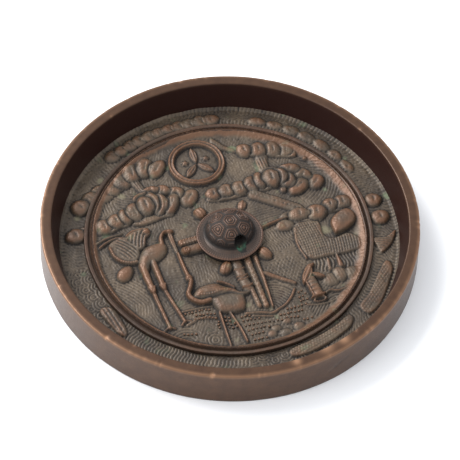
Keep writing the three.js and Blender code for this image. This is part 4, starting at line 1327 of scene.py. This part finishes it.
def makeKnob(settings):
    rows, around = settings["rows"], settings["around"]
    s = (np.arange(1, rows + 1) / rows) ** 0.92
    a = np.arange(around) * 2 * np.pi / around
    s, a = np.meshgrid(s, a, indexing="ij")
    shift = 1 - smooth((s - 0.55) / 0.45)
    ax, ay = settings["across"] / 2, settings["deep"] / 2
    x = settings["domeAt"][0] * shift + s * ax * np.cos(a)
    y = settings["domeAt"][1] * shift + s * ay * np.sin(a)
    dx = (x - settings["domeAt"][0]) / (settings["domeAcross"] / 2)
    dy = (y - settings["domeAt"][1]) / (settings["domeDeep"] / 2)
    q = np.hypot(dx, dy)
    rise = settings["domeTop"] - settings["shoulder"]
    dome = settings["shoulder"] + rise * np.sqrt(np.clip(1 - np.clip(q, 0, 1) ** 2, 0, None))
    bend = np.arcsin(np.clip(q, 0, 1)) / (q + 1e-6) * 0.86
    bossed = plateRelief(bend * dx * settings["domeAcross"] / 2, bend * dy * settings["domeDeep"] / 2,
                         settings["scute"])
    # Skirt: falls from the dome, turns up into a lip
    p = np.hypot(x / ax, y / ay)
    skirt = np.interp(p, *zip(*settings["skirt"]))
    onSkirt = smooth((p - 0.76) / 0.05) * (1 - smooth((p - 0.93) / 0.03))
    flutes = 0.17 * np.cos(settings["flutes"] * a) * onSkirt
    lipLine = -0.16 * np.exp(-((p - 0.935) / 0.012) ** 2) - 0.12 * np.exp(-((p - 0.8) / 0.014) ** 2)
    beads = 0.14 * np.cos(settings["flutes"] * 1.5 * a) * smooth((p - 0.95) / 0.02)
    skirt = skirt + flutes + lipLine + beads
    z = np.maximum(skirt, dome + bossed * smooth((0.97 - q) / 0.08))
    z = mirror["ground"] + z
    bottomZ = mirror["ground"] - 0.6
    centre = [(settings["domeAt"][0], settings["domeAt"][1], mirror["ground"] + settings["domeTop"] + 0.28)]
    grid = np.stack([x.ravel(), y.ravel(), z.ravel()], 1)
    turns = a[0]
    under = [np.stack([ax * k * np.cos(turns), ay * k * np.sin(turns), np.full(around, h)], 1)
             for k, h in ((0.985, mirror["ground"] + 1.2), (0.95, mirror["ground"] + 0.7), (0.94, bottomZ))]
    points = np.vstack([np.array(centre), grid] + under + [np.array([[0, 0, bottomZ]])])
    number = 1 + np.arange((rows + 3) * around).reshape(rows + 3, around)
    following = np.roll(np.arange(around), -1)
    faces = [(0, number[0][k], number[0][following[k]]) for k in range(around)]
    for row in range(rows + 2):
        faces += np.stack([number[row], number[row + 1], number[row + 1][following],
                           number[row][following]], 1).tolist()
    last = len(points) - 1
    faces += [(last, number[-1][following[k]], number[-1][k]) for k in range(around)]

    # A value for every point: the middle of the dome, the grid, and the underside
    def everywhere(first, values, under):
        return np.concatenate([[first], values.ravel(), np.full(3 * around + 1, under)])

    high = smooth((points[:, 2] - mirror["ground"] - 1.9) / 4)
    boss = everywhere(1, smooth(0.35 + 2.5 * bossed), 0)
    lipWorn = everywhere(0, smooth((p - 0.9) / 0.05) * 0.6, 0)
    # Dark in the lines between plates, in the skirt's grooves and round the dome's foot: dirt and painted
    # shade
    crease = everywhere(0, smooth(0.35 - 4 * bossed) * (q < 0.96), 0)
    fluted = everywhere(0, smooth(0.2 - 4 * (flutes + lipLine + beads)) * (q > 1), 0)
    foot = everywhere(0, np.exp(-((q - 1) / 0.07) ** 2), 1)
    piece = meshPiece("turtleKnob", points, faces, {
        "worn": np.clip(0.75 * high * boss + lipWorn, 0, 1),
        "grime": np.clip(0.8 * crease + 0.7 * fluted + foot, 0, 1),
    }, knobBronze)
    drillCordHole(piece, settings)
    finished(piece)


makeKnob(knob)


# Pebbles on the beach: one small dome set on each given place, as an input of the tree
def pebbleTree():
    tree, sockets, given = openTree("beachPebbles", {"Radius": "Float", "Smallest": "Float",
                                                     "Largest": "Float",
                                                     "Flatness": "Float", "Seed": "Int",
                                                     "Material": "Material"})
    spots = addNode(tree, "GeometryNodeMeshToPoints", links={"Mesh": given["Geometry"]})
    dome = addNode(tree, "GeometryNodeMeshIcoSphere", {"Subdivisions": 2}, {"Radius": given["Radius"]})
    size = addNode(tree, "FunctionNodeRandomValue", {}, {"Min": given["Smallest"], "Max": given["Largest"],
                                                        "Seed": given["Seed"]}, data_type="FLOAT")
    flat = addNode(tree, "ShaderNodeCombineXYZ", {"X": 1.0, "Y": 1.0}, {"Z": given["Flatness"]})
    scale = addNode(tree, "ShaderNodeVectorMath", links={0: flat.outputs[0], "Scale": size.outputs[1]},
                    operation="SCALE")
    heaped = addNode(tree, "GeometryNodeInstanceOnPoints",
                     links={"Points": spots.outputs[0], "Instance": dome.outputs["Mesh"],
                            "Scale": scale.outputs[0]})
    closeTree(tree, heaped.outputs[0], given["Material"])
    return tree, sockets


pebbles = {
    "radius": 0.38, "smallest": 0.8, "largest": 1.15, "flatness": 1.0, "seed": 4,
    "rows": [   # a curve through the points, and the spacing along it
        ([(-21.4, -23.3), (-17, -23.2), (-13.6, -23.8)], 1.05),
        ([(-18.4, -24.6), (-16, -24.9), (-13.2, -25.5)], 1.05),
        ([(-19.2, -26), (-16, -26.3), (-13, -27.4)], 1.05), ([(-13, -28.6), (-13.4, -31)], 1.1),
        ([(-10.4, -27.9), (-9, -28.4)], 1.1), ([(-10.6, -29.1), (-8.6, -29.5)], 1.1),
        ([(-10.6, -30.4), (-8.4, -30.8)], 1.1), ([(-10.4, -31.6), (-8.2, -32)], 1.1),
        ([(-5.8, -29), (-2.6, -29.3)], 1.2), ([(-5.8, -30.6), (-3, -30.7), (-0.6, -31)], 1.2),
        ([(-5.6, -32.4), (-1, -32.6), (2.6, -33), (6, -33.4)], 1.2),
        ([(-5.2, -34.2), (-1, -34.2), (1, -34.6)], 1.2),
        ([(-5, -36), (-2, -36), (-0.4, -36.2)], 1.2), ([(-4.6, -37.8), (-1, -38)], 1.2),
        ([(5.4, -31.5), (9, -31.8), (13, -32)], 1.15), ([(7, -33), (9, -33.5), (11, -34.1)], 1.1),
        ([(8.2, -30.2), (12, -30.3), (15, -29.8)], 1.15), ([(12.8, -28.6), (15.2, -28.3)], 1.1),
        ([(13, -27.4), (15.2, -26.4)], 1.1), ([(13.4, -25.6), (14.8, -24.6)], 1.1),
        ([(11.6, -35.4), (15, -35)], 1.2), ([(-24, -30), (-20, -31.2)], 1.2),
    ],
}


def makePebbles(settings):
    spots = []
    for path, spacing in settings["rows"]:
        line = curve(path, 12) if len(path) > 2 else np.array(path, float)
        run = np.concatenate([[0], np.cumsum(np.hypot(*np.diff(line, axis=0).T))])
        for along in np.arange(0, run[-1], spacing):
            spots.append((np.interp(along, run, line[:, 0]), np.interp(along, run, line[:, 1])))
    spots = np.array(spots) + random.uniform(-0.15, 0.15, (len(spots), 2))
    heights = mirror["ground"] + sample(nearShape, spots[:, 0], spots[:, 1]) + 0.12
    piece = grown("beachPebbles", np.column_stack([spots, heights]) * mm, [], *pebbleTree(), {
        "Radius": settings["radius"] * mm, "Smallest": settings["smallest"], "Largest": settings["largest"],
        "Flatness": settings["flatness"], "Seed": settings["seed"], "Material": fieldBronze})
    top = smooth((places(piece.data)[:, 2] - mirror["ground"] - 0.1) / 0.25)
    # Wear on the pebbles' tops, and painted shade at their feet
    paint(piece.data, {"worn": 0.8 * top, "grime": 1 - top})
    finished(piece)


makePebbles(pebbles)


# Floor and light

def addLight(name, place, size, power):
    data = bpy.data.lights.new(name, "AREA")
    data.shape = "RECTANGLE"
    data.size, data.size_y = size
    data.energy = power
    lamp = placed(name, data)
    lamp.location = place
    lamp.rotation_euler = Vector(place).to_track_quat("Z", "Y").to_euler()    # aimed at the origin


studio = {
    "floor": "#fafafa", "sky": "#f3f6fb", "skyStrength": 1.1,
    "softboxes": {   # place and size in metres, power in watts
        "softboxBack": ((-0.5, 0.7, 0.8), (0.8, 0.6), 15),
        "softboxLeft": ((-0.95, -0.1, 0.55), (0.6, 0.5), 4),
    },
}


def makeStudio(settings):
    mesh = bpy.data.meshes.new("floor")
    mesh.from_pydata([(-3, -3, 0), (3, -3, 0), (3, 3, 0), (-3, 3, 0)], [], [(0, 1, 2, 3)])
    floor = placed("floor", mesh)
    paper = bpy.data.materials.new("whitePaper")
    paper.use_nodes = True
    tree = paper.node_tree
    tree.nodes.clear()
    surface = addNode(tree, "ShaderNodeBsdfPrincipled", {"Base Color": linear(settings["floor"]),
                                                         "Roughness": 0.9, "Specular IOR Level": 0.1})
    addNode(tree, "ShaderNodeOutputMaterial", links={"Surface": surface.outputs[0]})
    mesh.materials.append(paper)
    world = bpy.data.worlds.new("studio")
    world.use_nodes = True
    sky = world.node_tree.nodes["Background"]
    sky.inputs["Color"].default_value = linear(settings["sky"])
    sky.inputs["Strength"].default_value = settings["skyStrength"]
    bpy.context.scene.world = world
    for name, softbox in settings["softboxes"].items():
        addLight(name, *softbox)
    bpy.context.scene.view_settings.view_transform = "Standard"


makeStudio(studio)
print("floor and light set")
